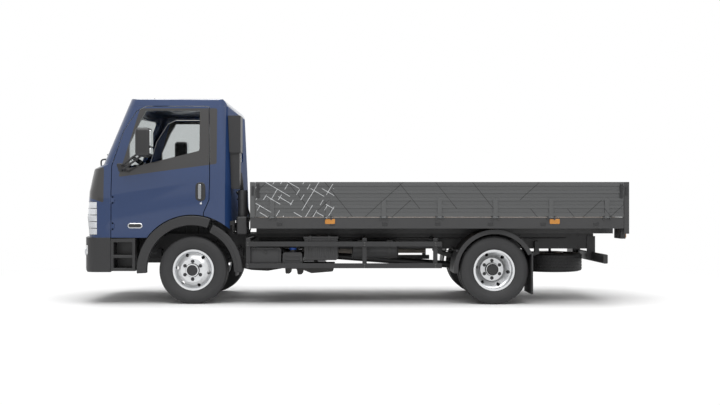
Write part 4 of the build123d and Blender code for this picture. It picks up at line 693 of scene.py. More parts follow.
def tube_mesh(points, radius, loops=6):
    """A bent pipe or hose: a smooth curve through the points, made a mesh."""
    data = bpy.data.curves.new("pipe", "CURVE")
    data.dimensions = "3D"
    data.bevel_depth = radius
    data.bevel_resolution = 2
    data.use_fill_caps = True
    spline = data.splines.new("NURBS")
    spline.points.add(len(points) - 1)
    for spot, point in zip(spline.points, points):
        spot.co = (*point, 1)
    spline.order_u = 3
    spline.use_endpoint_u = True
    spline.resolution_u = loops
    holder = bpy.data.objects.new("pipe", data)
    bpy.context.scene.collection.objects.link(holder)
    depsgraph = bpy.context.evaluated_depsgraph_get()
    mesh = bpy.data.meshes.new_from_object(holder.evaluated_get(depsgraph), depsgraph=depsgraph)
    bpy.data.objects.remove(holder)
    return mesh


hose_rubber = make_finish("hose_rubber", (0.014, 0.014, 0.014), 0.5, grain=0.2)
bm = bmesh.new()
line_runs = [
    # points in order and the radius: to the rear axle, to the lamps, to the tanks and brakes
    ([(1.1, 0.408, 0.72), (0.3, 0.408, 0.72), (-0.9, 0.408, 0.72), (-1.15, 0.40, 0.70),
      (-1.35, 0.30, 0.56), (-1.6, 0.22, 0.47)], 0.008),
    ([(1.1, 0.408, 0.745), (0.2, 0.41, 0.745), (-1.1, 0.41, 0.745), (-2.6, 0.41, 0.745)], 0.006),
    ([(1.1, 0.41, 0.69), (0.4, 0.42, 0.69), (0.05, 0.52, 0.68), (-0.02, 0.56, 0.65)], 0.007),
    ([(-0.56, 0.56, 0.64), (-0.66, 0.55, 0.66), (-0.75, 0.42, 0.70)], 0.007),
    ([(1.45, 0.415, 0.70), (1.6, 0.47, 0.62), (1.78, 0.55, 0.52), (1.81, 0.60, 0.44)], 0.008),
]
for run, radius in line_runs:
    add_mesh(bm, tube_mesh(run, radius))
keep_piece("air_lines", mesh_of(bm), hose_rubber, "chassis")

# Mudguards and side guards. Moulded plastic guards over the wheels with rubber flaps
# behind the rear ones, and painted steel rails bolted between the axles.
guard_black = make_finish("guard_black", (0.02, 0.02, 0.021), 0.55, grain=0.3, grain_scale=450, wear=0.15)
dress("mudguards", guard_black, "guard_plastic", bevel=0.003)
lip_inner, lip_outer = 0.478, 0.578
lip_from, lip_to, lip_steps = 24, 92, 18
lip_angles = [radians(lip_from + (lip_to - lip_from) * k / lip_steps) for k in range(lip_steps + 1)]
lip_arc = [(lip_outer, a) for a in lip_angles] + [(lip_inner, a) for a in reversed(lip_angles)]
lip_outline = [(front_x - r * sin(a), axle_z + r * cos(a)) for r, a in lip_arc]
bm = bmesh.new()
for side in (1, -1):
    add_plate(bm, lip_outline, side * 0.972, side * 0.992)
keep_piece("mudguard_lips", mesh_of(bm), guard_black, "chassis", bevel=0.007, smooth=40)
dress("side_guards", chassis_black, "bare_metal", bevel=0.004)
guard_bolt_xs = (1.165, -0.167, -0.977)
guard_bolt_zs = (0.434, 0.462, 0.682, 0.710)
guard_face_y = 1.058
bm = bmesh.new()
for side in (1, -1):
    for x in guard_bolt_xs:
        for z in guard_bolt_zs:
            place = Matrix.Translation((x, side * guard_face_y, z))
            add_mesh(bm, bolt_head(0.008, side * 0.007), place)
keep_piece("guard_bolts", mesh_of(bm), bolt_grey, "chassis")

# Underrun bar and rear lamps. Pressed steel, painted black; the lamp units have clear,
# amber and red lenses, and the plate between them is blank.
dress("underrun_bar", chassis_black, "frame_paint", bevel=0.006)
lens_red = make_finish("lens_red", (0.36, 0.008, 0.008), 0.16, coat=0.6)
lens_amber = make_finish("lens_amber", (0.48, 0.20, 0.03), 0.22, coat=0.4)
lens_clear = make_finish("lens_clear", (0.62, 0.63, 0.64), 0.12, coat=0.8)
dress("rear_lamps", box_plastic, "lamp_red", bevel=0.008)
low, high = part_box("rear_lamps")
lamp_width = 0.30
lens_parts = {
    # share of the lamp's width from its outer end, finish
    "rear_amber": (0.03, 0.30, lens_amber), "rear_red": (0.32, 0.68, lens_red),
    "rear_white": (0.70, 0.97, lens_clear),
}
for name, (near, far, finish) in lens_parts.items():
    bm = bmesh.new()
    for side in (1, -1):
        add_box(bm, (low.x - 0.008, side * (high.y - lamp_width * near), low.z + 0.012),
                (low.x + 0.01, side * (high.y - lamp_width * far), high.z - 0.012))
    keep_piece(name, mesh_of(bm), finish, "chassis", bevel=0.006)
plate_white = make_finish("plate_white", (0.72, 0.72, 0.71), 0.35, coat=0.3)
plate_half = 0.26
bm = bmesh.new()
add_box(bm, (-2.964, -plate_half, 0.48), (-2.957, plate_half, 0.565))
keep_piece("rear_plate", mesh_of(bm), plate_white, "chassis", bevel=0.002)
reflector_y, reflector_half = 0.62, 0.06
bm = bmesh.new()
for side in (1, -1):
    y = side * reflector_y
    add_box(bm, (-2.961, y - reflector_half, 0.50), (-2.956, y + reflector_half, 0.54))
keep_piece("rear_reflectors", mesh_of(bm), lens_red, "chassis", bevel=0.001)

# Cab shell. Pressed steel panels in metallic blue, with a black band painted round the
# side windows from the pillar to behind the door. The panels meet at open shut lines.
band_edges = [
    # a point on the band's edge and the direction into the band, in X and Z
    (2.640, 1.466, 0.132, 0.991), (2.645, 1.500, -0.957, -0.287),
    (1.540, 2.256, 0.0, -1.0), (1.528, 1.900, 1.0, 0.0),
]
panel_edges = [
    # the same for the black front panel between the lamps and the windscreen
    (2.822, 1.4, 1.0, 0.0), (3.0, 1.225, -0.30, 0.954), (3.0, 1.578, 0.0, -1.0),
]
band_softness = 0.035
band_inner_y = 0.80
cab_metallic = 0.35
shell = {"slot": "cab_paint", "bevel": 0.0025, "smooth": 28}


def make_cab_paint(name, edges=(), inner_y=0.0, coat=0.8, roughness=0.36):
    """Metallic blue under clear coat, and black inside the edges, if it has any."""
    material = make_finish(name, (0.014, 0.040, 0.125), roughness, metallic=cab_metallic, coat=coat)
    tree = material.node_tree
    shader = tree.nodes["Principled BSDF"]
    place = tree.nodes["Texture Coordinate"].outputs["Object"]
    flakes = add_node(tree, "ShaderNodeTexNoise", Vector=place, Scale=900, Detail=1)
    colour = mix_colours(tree, flakes.outputs["Fac"], (0.008, 0.026, 0.088), (0.015, 0.042, 0.128))
    if edges:
        x, y, z = add_node(tree, "ShaderNodeSeparateXYZ", Vector=place).outputs
        inside = None
        for edge_x, edge_z, dx, dz in edges:
            along = maths(tree, "MULTIPLY", maths(tree, "SUBTRACT", x, edge_x), dx)
            depth = maths(tree, "MULTIPLY_ADD", maths(tree, "SUBTRACT", z, edge_z), dz, along)
            inside = depth if inside is None else maths(tree, "SMOOTH_MIN", inside, depth, band_softness)
        outer = maths(tree, "SUBTRACT", maths(tree, "ABSOLUTE", y), inner_y)
        mask = maths(tree, "GREATER_THAN", maths(tree, "MINIMUM", inside, outer), 0.0)
        colour = mix_colours(tree, mask, colour, (0.012, 0.011, 0.011))
        metal = maths(tree, "MULTIPLY", maths(tree, "SUBTRACT", 1.0, mask), cab_metallic)
        tree.links.new(metal, shader.inputs["Metallic"])
    tree.links.new(colour, shader.inputs["Base Color"])
    return material


cab_blue = make_cab_paint("cab_blue")
cab_blue_rear = make_cab_paint("cab_blue_rear", coat=0.0, roughness=0.6)
cab_blue_rear.node_tree.nodes["Principled BSDF"].inputs["Specular IOR Level"].default_value = 0.12
cab_blue_front = make_cab_paint("cab_blue_front", panel_edges, -1.0)
cab_blue_banded = make_cab_paint("cab_blue_banded", band_edges, band_inner_y)
dress("cab_roof", cab_blue, **shell)
dress("cab_front", cab_blue_front, **shell)
dress("cab_rear_wall", cab_blue_rear, **shell)
for node in ("cab_side_left", "cab_side_right", "door_left", "door_right"):
    dress(node, cab_blue_banded, **shell)

# Glass. Laminated windscreen and tempered side and rear glass, lightly tinted and thin, so
# that it bends what is behind it only a little.
window_glass = make_finish("window_glass", (0.68, 0.70, 0.70), 0.0)
window_glass.node_tree.nodes["Principled BSDF"].inputs["Transmission Weight"].default_value = 1.0
window_glass.node_tree.nodes["Principled BSDF"].inputs["IOR"].default_value = 1.08
for node in ("cab_glass", "door_glass_left", "door_glass_right"):
    dress(node, window_glass, "glass")

# Door furniture. A pull handle over a black plastic cup, a chromed lock below it, and a
# chromed oval marker lamp in the lower front corner of the door.
trim_black = make_finish("trim_black", (0.017, 0.017, 0.018), 0.42, grain=0.25, grain_scale=600)
chrome = make_finish("chrome", (0.75, 0.76, 0.78), 0.08, metallic=1.0)
handle_grey = make_finish("handle_grey", (0.30, 0.31, 0.32), 0.25, metallic=0.8, coat=0.4)
skin_y = 1.0125
handle_x, handle_z = 1.713, 1.296
cup_half = (0.058, 0.108)
grip_half = (0.019, 0.086)
post_dz, post_half = 0.07, 0.012
lock_drop = 0.135
marker_x, marker_z = 2.462, 0.905
sides = ((1, "left"), (-1, "right"))


def rounded(half_x, half_z, radius, at=(0, 0), steps=6, lean=0.0):
    """The outline of a rounded rectangle about a point, leaning by lean."""
    outline = []
    for sx, sz, start in ((1, 1, 0), (-1, 1, 90), (-1, -1, 180), (1, -1, 270)):
        for k in range(steps + 1):
            a = radians(start + 90 * k / steps)
            x = sx * (half_x - radius) + radius * cos(a)
            z = sz * (half_z - radius) + radius * sin(a)
            outline.append((at[0] + x + lean * z, at[1] + z))
    return outline


for side, side_name in sides:
    body = f"door_{side_name}_body"
    bm = bmesh.new()
    add_plate(bm, rounded(*cup_half, 0.05, (handle_x, handle_z)),
              side * (skin_y - 0.02), side * (skin_y + 0.009))
    keep_piece(f"handle_cup_{side_name}", mesh_of(bm), trim_black, body, bevel=0.006)
    bm = bmesh.new()
    add_plate(bm, rounded(*grip_half, 0.018, (handle_x + 0.006, handle_z)),
              side * (skin_y + 0.012), side * (skin_y + 0.030))
    for z in (handle_z - post_dz, handle_z + post_dz):
        add_box(bm, (handle_x - 0.008, side * skin_y, z - post_half),
                (handle_x + 0.02, side * (skin_y + 0.02), z + post_half))
    keep_piece(f"handle_grip_{side_name}", mesh_of(bm), handle_grey, body, bevel=0.005)
    bm = bmesh.new()
    lock_x, lock_z = handle_x - 0.005, handle_z - lock_drop
    add_rod(bm, (lock_x, side * (skin_y - 0.01), lock_z),
            (lock_x, side * (skin_y + 0.004), lock_z), 0.012, 20)
    keep_piece(f"door_lock_{side_name}", mesh_of(bm), chrome, body, bevel=0.001)
    bm = bmesh.new()
    add_plate(bm, rounded(0.085, 0.030, 0.029, (marker_x, marker_z)), side * 0.985, side * 1.0195)
    keep_piece(f"marker_ring_{side_name}", mesh_of(bm), chrome, body, bevel=0.005)
    bm = bmesh.new()
    add_plate(bm, rounded(0.074, 0.019, 0.018, (marker_x, marker_z)), side * 1.0, side * 1.0215)
    keep_piece(f"marker_lamp_{side_name}", mesh_of(bm), trim_black, body, bevel=0.004)

# Mirrors. Black plastic heads on two bent tubes at each door, with a large flat glass and
# a smaller curved one facing the rear.
mirror_glass = make_finish("mirror_glass", (0.82, 0.84, 0.85), 0.03, metallic=1.0)
mirror_y = 1.2
mirror_panes = ((1.80, 1.985), (1.715, 1.785))
pane_half, pane_from, pane_to = 0.078, 2.2325, 2.240
for side, side_name in sides:
    body = f"door_{side_name}_body"
    dress(f"mirror_{side_name}", trim_black, "cab_trim")
    bm = bmesh.new()
    for z_low, z_high in mirror_panes:
        middle = (side * mirror_y, (z_low + z_high) / 2)
        add_plate(bm, rounded(pane_half, (z_high - z_low) / 2, 0.02, middle), pane_from, pane_to, axis="x")
    keep_piece(f"mirror_glass_{side_name}", mesh_of(bm), mirror_glass, body, bevel=0.001)
    bm = bmesh.new()
    add_plate(bm, rounded(0.05, 0.055, 0.02, (2.615, 1.565), lean=0.3), side * 0.965, side * 1.004)
    add_plate(bm, rounded(0.03, 0.012, 0.01, (2.30, 1.69)), side * 1.13, side * 1.27)
    keep_piece(f"mirror_foot_{side_name}", mesh_of(bm), trim_black, body, bevel=0.006)

# Headlamps. A dark plastic bezel and five bright lamp cells, one over the other, that
# follow the cab round its corner.
lamp_bezel = make_finish("lamp_bezel", (0.03, 0.031, 0.034), 0.12, metallic=0.3, coat=1.0)
lamp_glow = make_finish("lamp_glow", (0.62, 0.64, 0.67), 0.16, metallic=0.35, coat=1.0)
lamp_cells = 5
lamp_gap = 0.009
lamp_recess = 0.010
low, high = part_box("headlamps")


def node_copy(node):
    """A merged bmesh of a CAD node, left free to cut."""
    bm = bmesh.new()
    bm.from_mesh(nodes[node].data)
    bmesh.ops.remove_doubles(bm, verts=bm.verts, dist=merge_distance)
    return bm


def cut_off(bm, point, normal):
    """Cuts away what lies beyond a plane and closes the cut."""
    geometry = bm.verts[:] + bm.edges[:] + bm.faces[:]
    bmesh.ops.bisect_plane(bm, geom=geometry, plane_co=point, plane_no=normal, clear_outer=True, dist=1e-6)
    rim = [edge for edge in bm.edges if edge.is_boundary]
    if rim:
        bmesh.ops.holes_fill(bm, edges=rim)


bm = node_copy("headlamps")
for vert in bm.verts:
    vert.co.x -= lamp_recess
    vert.co.y -= lamp_recess * (1 if vert.co.y > 0 else -1)
bezel = keep_piece("headlamp_bezels", mesh_of(bm), lamp_bezel, "cab", smooth=28)
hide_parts("headlamps")
cell_height = (high.z - low.z) / lamp_cells
for i in range(lamp_cells):
    bm = node_copy("headlamps")
    cut_off(bm, (0, 0, low.z + i * cell_height + lamp_gap / 2), (0, 0, -1))
    cut_off(bm, (0, 0, low.z + (i + 1) * cell_height - lamp_gap / 2), (0, 0, 1))
    keep_piece(f"headlamp_cells_{i}", mesh_of(bm), lamp_glow, "cab", bevel=0.004, smooth=28)

# Grille and bumper. Black moulded slats over a bare panel, and a bumper with a cut-back
# lower edge, fog lamps, corner reflectors and a blank plate.
dress("grille", trim_black, "cab_trim", bevel=0.004)
low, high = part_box("bumper")
chin_height = 0.105
chin_slope = (0.64, 0, -0.77)
bm = node_copy("bumper")
cut_off(bm, (high.x, 0, low.z + chin_height), chin_slope)
bmesh.ops.dissolve_limit(bm, angle_limit=flat_angle, verts=bm.verts, edges=bm.edges)
bumper = keep_piece("bumper_moulded", mesh_of(bm), trim_black, "cab", bevel=0.008, smooth=30)
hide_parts("bumper")
fog_y, fog_z, fog_radius = 0.70, 0.60, 0.052
corner_y, corner_z, corner_half = 0.945, 0.625, (0.016, 0.055)
bpy.context.view_layer.update()


def face_x(piece, y, z):
    """The X of a piece's front face at a place."""
    ahead = Vector((5, y, z))
    return piece.ray_cast(ahead, Vector((-1, 0, 0)))[1].x


bm = bmesh.new()
for side in (1, -1):
    x = face_x(bumper, side * fog_y, fog_z)
    add_rod(bm, (x - 0.03, side * fog_y, fog_z), (x + 0.004, side * fog_y, fog_z), fog_radius, 32)
keep_piece("fog_lamps", mesh_of(bm), lamp_glow, "cab", bevel=0.006)
bm = bmesh.new()
add_box(bm, (high.x - 0.03, -plate_half, 0.525), (high.x - 0.001, plate_half, 0.635))
keep_piece("front_plate", mesh_of(bm), plate_white, "cab", bevel=0.002)
bm = bmesh.new()
for side in (1, -1):
    x = face_x(bumper, side * corner_y, corner_z)
    add_plate(bm, rounded(*corner_half, 0.014, (side * corner_y, corner_z)), x - 0.04, x + 0.006, axis="x")
keep_piece("corner_lamps", mesh_of(bm), lens_clear, "cab", bevel=0.003)
dress("cab_steps", trim_black, "cab_trim", bevel=0.005)
dress("cab_flares", trim_black, "cab_trim", bevel=0.006)
dress("snorkel", trim_black, "cab_trim", bevel=0.004)
dress("air_cleaner", box_plastic, "guard_plastic", bevel=0.004)
dress("tow_lugs", chassis_black, "frame_paint", bevel=0.002)

# Wipers, brackets and aerial. Two wipers parked along the windscreen's foot, a bent steel
# bracket at each corner of the cowl, and a short aerial on a rubber base.
steel_grey = make_finish("steel_grey", (0.10, 0.10, 0.105), 0.4, metallic=0.6)
windscreen = bpy.data.objects["cab_glass_finished"]
wiper_ys = [
    # the pivot, and the blade's two ends
    (0.10, 0.72, 0.06), (-0.58, 0.04, -0.62),
]
blade_steps = 8
blade_stand = 0.016
blade_z, pivot_z = 1.735, 1.69
bpy.context.view_layer.update()
bm = bmesh.new()
for pivot_y, start_y, end_y in wiper_ys:
    ys = [start_y + (end_y - start_y) * k / blade_steps for k in range(blade_steps + 1)]
    blade = [(face_x(windscreen, y, blade_z) + blade_stand, y, blade_z) for y in ys]
    add_mesh(bm, tube_mesh(blade, 0.006, loops=2))
    x, y, z = blade[blade_steps // 2]
    pivot_x = face_x(windscreen, pivot_y, pivot_z) + 0.03
    add_rod(bm, (pivot_x, pivot_y, pivot_z), (x + 0.014, y, z), 0.007, 10, 0.004)
    add_rod(bm, (pivot_x - 0.04, pivot_y, pivot_z - 0.015), (pivot_x + 0.006, pivot_y, pivot_z), 0.015, 16)
    add_rod(bm, (x - 0.004, y, z), (x + 0.018, y, z), 0.008, 10)
keep_piece("wipers", mesh_of(bm), trim_black, "cab")
bracket_y, bracket_radius = 0.80, 0.009
bracket_run = [(2.895, 1.55), (2.91, 1.63), (2.90, 1.672), (2.84, 1.678), (2.775, 1.68)]
bm = bmesh.new()
for side in (1, -1):
    y = side * bracket_y
    add_mesh(bm, tube_mesh([(x, y, z) for x, z in bracket_run], bracket_radius))
    add_rod(bm, (2.84, y, 1.55), (2.85, y, 1.674), 0.006, 10)
keep_piece("cowl_brackets", mesh_of(bm), trim_black, "cab")
aerial_foot = Vector((2.33, 0.70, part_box("cab_roof")[1].z - 0.075))
aerial_neck = aerial_foot + Vector((-0.012, 0, 0.03))
aerial_tip = aerial_foot + Vector((-0.030, 0, 0.072))
bm = bmesh.new()
add_rod(bm, aerial_foot, aerial_neck, 0.016, 16, 0.009)
add_rod(bm, aerial_neck, aerial_tip, 0.003, 8)
keep_piece("aerial", mesh_of(bm), steel_grey, "cab")

# Hoses behind the cab. Rubber coolant and air lines in stiff bends that stand on the frame
# close behind the rear wall, and stay there as the cab tilts.
hose_runs = {
    # radius, points in order
    0.022: [(1.30, 0.66, 1.52), (1.27, 0.67, 1.35), (1.30, 0.62, 1.18), (1.24, 0.56, 1.02),
            (1.27, 0.50, 0.84)],
    0.014: [(1.36, 0.52, 1.30), (1.27, 0.54, 1.22), (1.22, 0.56, 1.08), (1.26, 0.50, 0.92),
            (1.32, 0.44, 0.80)],
    0.011: [(1.36, 0.44, 1.22), (1.26, 0.46, 1.16), (1.20, 0.48, 1.02), (1.24, 0.44, 0.88),
            (1.36, 0.42, 0.78)],
    0.008: [(1.36, 0.34, 1.12), (1.25, 0.36, 1.08), (1.19, 0.40, 0.98), (1.20, 0.42, 0.84),
            (1.24, 0.41, 0.78)],
}
bm = bmesh.new()
for radius, run in hose_runs.items():
    add_mesh(bm, tube_mesh(run, radius))
keep_piece("cab_hoses", mesh_of(bm), hose_rubber, "chassis")

# Cab floor, dashboard and steering wheel. Grained dark plastic, over a pressed floor with
# a rubber mat.
inside_grey = make_finish("inside_grey", (0.055, 0.056, 0.06), 0.6, grain=0.4, grain_scale=500)
inside_dark = make_finish("inside_dark", (0.02, 0.02, 0.022), 0.5, grain=0.3, grain_scale=600)
dress("cab_floor", inside_dark, "interior_plastic", bevel=0.004)
dress("dashboard", inside_grey, "interior_plastic", bevel=0.004)
dress("steering_wheel", inside_dark, "interior_plastic", smooth=45)

# Seats. A driver's seat and two for passengers: foam under woven cloth, with sewn channels
# across the middle panel and plain side bolsters.
bolster_from = 0.74
seam_half, seam_depth = 0.03, 0.006
channel_depth, channel_v, channel_u = 0.006, 0.72, 0.8


def cushion_mesh(low, high, crown, channels, across=28):
    """A crowned pad: a fine grid box whose faces swell and whose sides pull in at the corners."""
    centre = [(a + b) / 2 for a, b in zip(low, high)]
    half = [(b - a) / 2 for a, b in zip(low, high)]
    bm = bmesh.new()
    bmesh.ops.create_cube(bm, size=2)
    bmesh.ops.subdivide_edges(bm, edges=bm.edges, cuts=across, use_grid_fill=True)
    for vert in bm.verts:
        # rounded like a pillow: corners draw in, faces stay full
        u, v, w = vert.co
        length = (abs(u) ** 5 + abs(v) ** 5 + abs(w) ** 5) ** 0.2
        u, v, w = u / length, v / length, w / length
        swell = crown * max(0.0, 1 - u * u) * max(0.0, 1 - v * v)
        groove = 0.0
        if abs(v) < channel_v and abs(u) < channel_u:
            groove = channel_depth * max(0.0, cos(u * channels * pi)) ** 8
        seam = seam_depth * max(0.0, 1 - ((abs(v) - bolster_from) / seam_half) ** 2)
        rise = half[2] + (swell - groove - seam if w > 0 else 0.0)
        vert.co = (centre[0] + u * half[0], centre[1] + v * half[1], centre[2] + w * rise)
    return mesh_of(bm)


seat_cloth = make_finish("seat_cloth", (0.035, 0.038, 0.045), 0.9, grain=0.5, grain_scale=900, wear=0.15)
seat_cloth.node_tree.nodes["Principled BSDF"].inputs["Sheen Weight"].default_value = 0.4
seats = {"driver": (0.262, 0.788), "passenger_inner": (-0.518, -0.182), "passenger_outer": (-0.858, -0.522)}
back_place = Matrix.Translation((1.572, 0, 1.55)) @ Matrix.Rotation(radians(-85), 4, "Y")
head_place = Matrix.Translation((1.55, 0, 1.925)) @ Matrix.Rotation(radians(-86), 4, "Y")
back_inset, head_half, post_dy = 0.012, 0.13, 0.06
pads, backs = [], []
for name, (y_low, y_high) in seats.items():
    middle = (y_low + y_high) / 2
    pad = keep_piece(f"cushion_{name}", cushion_mesh((1.505, y_low, 1.1305), (2.025, y_high, 1.25), 0.03, 3),
                     seat_cloth, "cab", smooth=60)
    pads.append(pad)
    mesh = cushion_mesh((-0.28, y_low + back_inset, -0.062), (0.28, y_high - back_inset, 0.05), 0.024, 4)
    mesh.transform(back_place)
    back = keep_piece(f"backrest_{name}", mesh, seat_cloth, "cab", smooth=60)
    backs.append(back)
    mesh = cushion_mesh((-0.085, middle - head_half, -0.045), (0.085, middle + head_half, 0.04),
                        0.014, 0.5, across=14)
    mesh.transform(head_place)
    head = keep_piece(f"headrest_{name}", mesh, seat_cloth, "cab", smooth=60)
    bm = bmesh.new()
    for y in (middle - post_dy, middle + post_dy):
        add_rod(bm, (1.555, y, 1.80), (1.55, y, 1.9), 0.006, 10)
    keep_piece(f"headrest_posts_{name}", mesh_of(bm), chrome, "cab")
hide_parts("seat_cushions")
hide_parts("seat_backs")

# Platform. A welded steel frame with raves along its edges, a floor of sealed boards and
# a ribbed headboard, painted dark grey.
board_grey = (0.075, 0.077, 0.078)
bed_grey = make_finish("bed_grey", board_grey, 0.45, metallic=0.25, coat=0.2, grain=0.06, wear=0.08)
rave_black = make_finish("rave_black", (0.03, 0.03, 0.031), 0.4, coat=0.2, grain=0.08, wear=0.15)
dress("bed_frame", rave_black, "bed_paint", bevel=0.0015)
dress("headboard", bed_grey, "bed_paint", bevel=0.003)


def make_boards(name):
    """Sealed hardwood with its grain along the platform."""
    material = make_finish(name, (0.13, 0.085, 0.05), 0.55, coat=0.15)
    tree = material.node_tree
    place = tree.nodes["Texture Coordinate"].outputs["Object"]
    stretch = add_node(tree, "ShaderNodeMapping", Vector=place, Scale=(0.8, 14, 14))
    grain = add_node(tree, "ShaderNodeTexNoise", Vector=stretch.outputs["Vector"], Scale=4, Detail=6)
    colour = mix_colours(tree, grain.outputs["Fac"], (0.075, 0.047, 0.028), (0.19, 0.125, 0.075))
    tree.links.new(colour, tree.nodes["Principled BSDF"].inputs["Base Color"])
    return material


board_wood = make_boards("board_wood")
low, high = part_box("bed_floor")
plank_inset = 0.03
low.y += plank_inset
high.y -= plank_inset
plank_count = 14
plank_gap = 0.003
plank_width = (high.y - low.y) / plank_count
bm = bmesh.new()
for i in range(plank_count):
    y = low.y + i * plank_width
    add_box(bm, (low.x, y + plank_gap / 2, low.z), (high.x, y + plank_width - plank_gap / 2, high.z))
planks = keep_piece("floor_planks", mesh_of(bm), board_wood, "chassis", bevel=0.002)
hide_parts("bed_floor")
bm = bmesh.new()
for side in (1, -1):
    add_box(bm, (low.x, side * high.y, low.z), (high.x, side * (high.y + plank_inset), high.z))
keep_piece("floor_edges", mesh_of(bm), rave_black, "chassis", bevel=0.002)
screws_along, screw_inset = 9, 0.03
screw_pitch = (high.x - low.x - 2 * screw_inset) / (screws_along - 1)
bm = bmesh.new()
for i in range(plank_count):
    for share in (0.25, 0.75):
        y = low.y + (i + share) * plank_width
        add_mesh(bm, spread(
            row_tree, bolt_head(0.007, 0.0012, "Z"), bolt_grey, Count=screws_along,
            Start=(low.x + screw_inset, y, high.z), Pitch=(screw_pitch, 0, 0)))
keep_piece("floor_screws", mesh_of(bm), bolt_grey, "chassis")

# Dropsides and tailgate. Rolled aluminium boards in dark grey with pressed ribs, hinged
# along the platform, with a plain line pattern printed on their outer faces.
print_face_y = 1.08
print_share = 0.62
fine_strokes = [
    # slope, pitch, stroke width, height of a break, offset
    (0.6, 0.085, 0.007, 0.06, 0.3), (-1.7, 0.13, 0.012, 0.09, 1.1),
]
broad_strokes = [(1.1, 0.31, 0.011, 0.5, 2.3), (-0.8, 0.42, 0.009, 0.6, 3.7)]


def strokes(tree, run, rise, slope, pitch, width, break_height, offset):
    """Slanting strokes with gaps: 1 on a stroke, 0 off it."""
    turns = maths(tree, "DIVIDE", maths(tree, "MULTIPLY_ADD", rise, slope, run), pitch)
    line = maths(tree, "LESS_THAN", maths(tree, "FRACT", turns), width / pitch)
    breaks = maths(tree, "DIVIDE", maths(tree, "ADD", rise, offset), break_height)
    cell = tree.nodes.new("ShaderNodeTexWhiteNoise")
    cell.noise_dimensions = "2D"
    spot = add_node(tree, "ShaderNodeCombineXYZ",
                    X=maths(tree, "FLOOR", turns), Y=maths(tree, "FLOOR", breaks))
    tree.links.new(spot.outputs[0], cell.inputs["Vector"])
    return maths(tree, "MULTIPLY", line, maths(tree, "GREATER_THAN", cell.outputs["Value"], print_share))


def make_board_paint(name, pale_from):
    """Dark grey with printed strokes: fine pale ones ahead of a place, broad dark ones all along."""
    material = make_finish(name, board_grey, 0.42, metallic=0.2, coat=0.25)
    tree = material.node_tree
    place = tree.nodes["Texture Coordinate"].outputs["Object"]
    x, y, z = add_node(tree, "ShaderNodeSeparateXYZ", Vector=place).outputs
    fine, broad = (
        maths(tree, "MAXIMUM", *(strokes(tree, x, z, *row) for row in rows))
        for rows in (fine_strokes, broad_strokes))
    front = maths(tree, "GREATER_THAN", x, pale_from)
    outer = maths(tree, "GREATER_THAN", maths(tree, "ABSOLUTE", y), print_face_y)
    pale = maths(tree, "MULTIPLY", maths(tree, "MULTIPLY", fine, front), outer)
    colour = mix_colours(tree, maths(tree, "MULTIPLY", broad, outer), board_grey, (0.02, 0.02, 0.021))
    colour = mix_colours(tree, pale, colour, (0.52, 0.53, 0.54))
    tree.links.new(colour, tree.nodes["Principled BSDF"].inputs["Base Color"])
    return material


side_print = make_board_paint("side_print", 0.18)
for node, finish in (("dropside_left", side_print), ("dropside_right", side_print), ("tailgate", bed_grey)):
    dress(node, finish, "bed_paint", bevel=0.003)
latch_xs = (1.046, -3.086)
for side, side_name in sides:
    # a latch at each end of the board: its plate, pin and lever
    bm = bmesh.new()
    for x in latch_xs:
        add_box(bm, (x - 0.016, side * 1.098, 1.22), (x + 0.016, side * 1.112, 1.385))
        add_rod(bm, (x, side * 1.112, 1.30), (x, side * 1.118, 1.30), 0.011, 16)
        add_box(bm, (x - 0.008, side * 1.108, 1.30), (x + 0.008, side * 1.12, 1.375))
    keep_piece(f"side_latches_{side_name}", mesh_of(bm), trim_black, f"side_{side_name}",
               bevel=0.003)
catch_xs = (1.105, -3.145)
ring_count, ring_x, ring_pitch = 7, 0.8, 0.6
bm = bmesh.new()
for side in (1, -1):
    for x in catch_xs:
        add_box(bm, (x - 0.012, side * 1.098, 1.25), (x + 0.012, side * 1.108, 1.36))
    # lashing points along the rave
    for i in range(ring_count):
        x = ring_x - i * ring_pitch
        add_box(bm, (x - 0.03, side * 1.088, 0.905), (x + 0.03, side * 1.097, 0.945))
keep_piece("bed_catches", mesh_of(bm), trim_black, "chassis", bevel=0.003)

# Side markers. Amber lamps with reflecting lenses in the rave on each side, one behind the
# cab and one near the tail.
side_marker_xs, side_marker_z, side_marker_half = (0.226, -2.33), 0.955, (0.057, 0.029)
bm = bmesh.new()
for side in (1, -1):
    for x in side_marker_xs:
        add_plate(bm, rounded(*side_marker_half, 0.012, (x, side_marker_z)), side * 1.086, side * 1.0995)
keep_piece("side_markers", mesh_of(bm), lens_amber, "chassis", bevel=0.004)

# Floor, light and camera. A pale floor under a white surround, one broad lamp above and
# one at each side; the camera stands where the photograph's did.
floor_pale = make_finish("floor_pale", (0.86, 0.86, 0.86), 0.85)
fade_start, fade_length = 3.6, 4.0
tree = floor_pale.node_tree
place = tree.nodes["Texture Coordinate"].outputs["Object"]
from_centre = add_node(tree, "ShaderNodeVectorMath", Vector=place)
from_centre.operation = "LENGTH"
share = maths(tree, "DIVIDE", maths(tree, "SUBTRACT", from_centre.outputs["Value"], fade_start), fade_length)
share.node.use_clamp = True
path = tree.nodes.new("ShaderNodeLightPath")
unlit = tree.nodes.new("ShaderNodeEmission")
seen_share = maths(tree, "MULTIPLY", share, path.outputs["Is Camera Ray"])
fade = add_node(tree, "ShaderNodeMixShader", Fac=seen_share)
tree.links.new(tree.nodes["Principled BSDF"].outputs[0], fade.inputs[1])
tree.links.new(unlit.outputs[0], fade.inputs[2])
tree.links.new(fade.outputs[0], tree.nodes["Material Output"].inputs["Surface"])
floor_half, floor_thickness = 90, 0.04
bm = bmesh.new()
add_box(bm, (-floor_half, -floor_half, -floor_thickness), (floor_half, floor_half, 0.0))
floor_mesh = mesh_of(bm)
floor_mesh.materials.append(floor_pale)
floor = bpy.data.objects.new("floor", floor_mesh)
bpy.context.scene.collection.objects.link(floor)

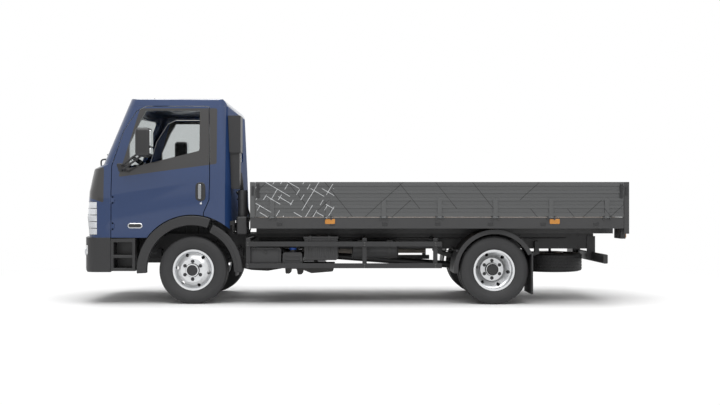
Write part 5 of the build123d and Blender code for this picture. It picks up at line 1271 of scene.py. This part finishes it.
world = bpy.data.worlds.new("studio")
world.use_nodes = True
bpy.context.scene.world = world
tree = world.node_tree
tree.nodes.clear()
output = tree.nodes.new("ShaderNodeOutputWorld")
seen = add_node(tree, "ShaderNodeBackground", Color=(1, 1, 1, 1), Strength=1.0)
lit = add_node(tree, "ShaderNodeBackground", Color=(1, 1, 1, 1), Strength=0.55)
path = tree.nodes.new("ShaderNodeLightPath")
mirrored = maths(tree, "MAXIMUM", path.outputs["Is Glossy Ray"], path.outputs["Is Transmission Ray"])
any_seen = maths(tree, "MAXIMUM", path.outputs["Is Camera Ray"], mirrored)
mix = add_node(tree, "ShaderNodeMixShader", Fac=any_seen)
tree.links.new(lit.outputs[0], mix.inputs[1])
tree.links.new(seen.outputs[0], mix.inputs[2])
tree.links.new(mix.outputs[0], output.inputs["Surface"])


def hang_lamp(name, place, aim, size, power):
    """A soft rectangular studio lamp."""
    data = bpy.data.lights.new(name, "AREA")
    data.shape = "RECTANGLE"
    data.size, data.size_y = size
    data.energy = power
    lamp = bpy.data.objects.new(name, data)
    lamp.location = place
    lamp.rotation_euler = (Vector(aim) - Vector(place)).to_track_quat("-Z", "Y").to_euler()
    bpy.context.scene.collection.objects.link(lamp)


hang_lamp("lamp_above", (0, 0.5, 8.5), (0, 0, 0.8), (12, 6), 620)
hang_lamp("lamp_left", (0, 6.5, 8.0), (0, 0, 0.9), (11, 3), 480)
hang_lamp("lamp_right", (0, -6.5, 8.0), (0, 0, 0.9), (11, 3), 300)

camera_place = (-0.115, 12.47, 1.108)
lens_length = 50
sensor_width = 36
frame_width = 720
horizon_below_centre = 5.5
camera_data = bpy.data.cameras.new("camera")
camera_data.lens = lens_length
camera_data.sensor_width = sensor_width
camera_data.shift_y = horizon_below_centre / frame_width
camera = bpy.data.objects.new("camera", camera_data)
camera.location = camera_place
camera.rotation_euler = (radians(90), 0, radians(180))
bpy.context.scene.collection.objects.link(camera)
bpy.context.scene.camera = camera
bpy.context.scene.view_settings.view_transform = "Standard"
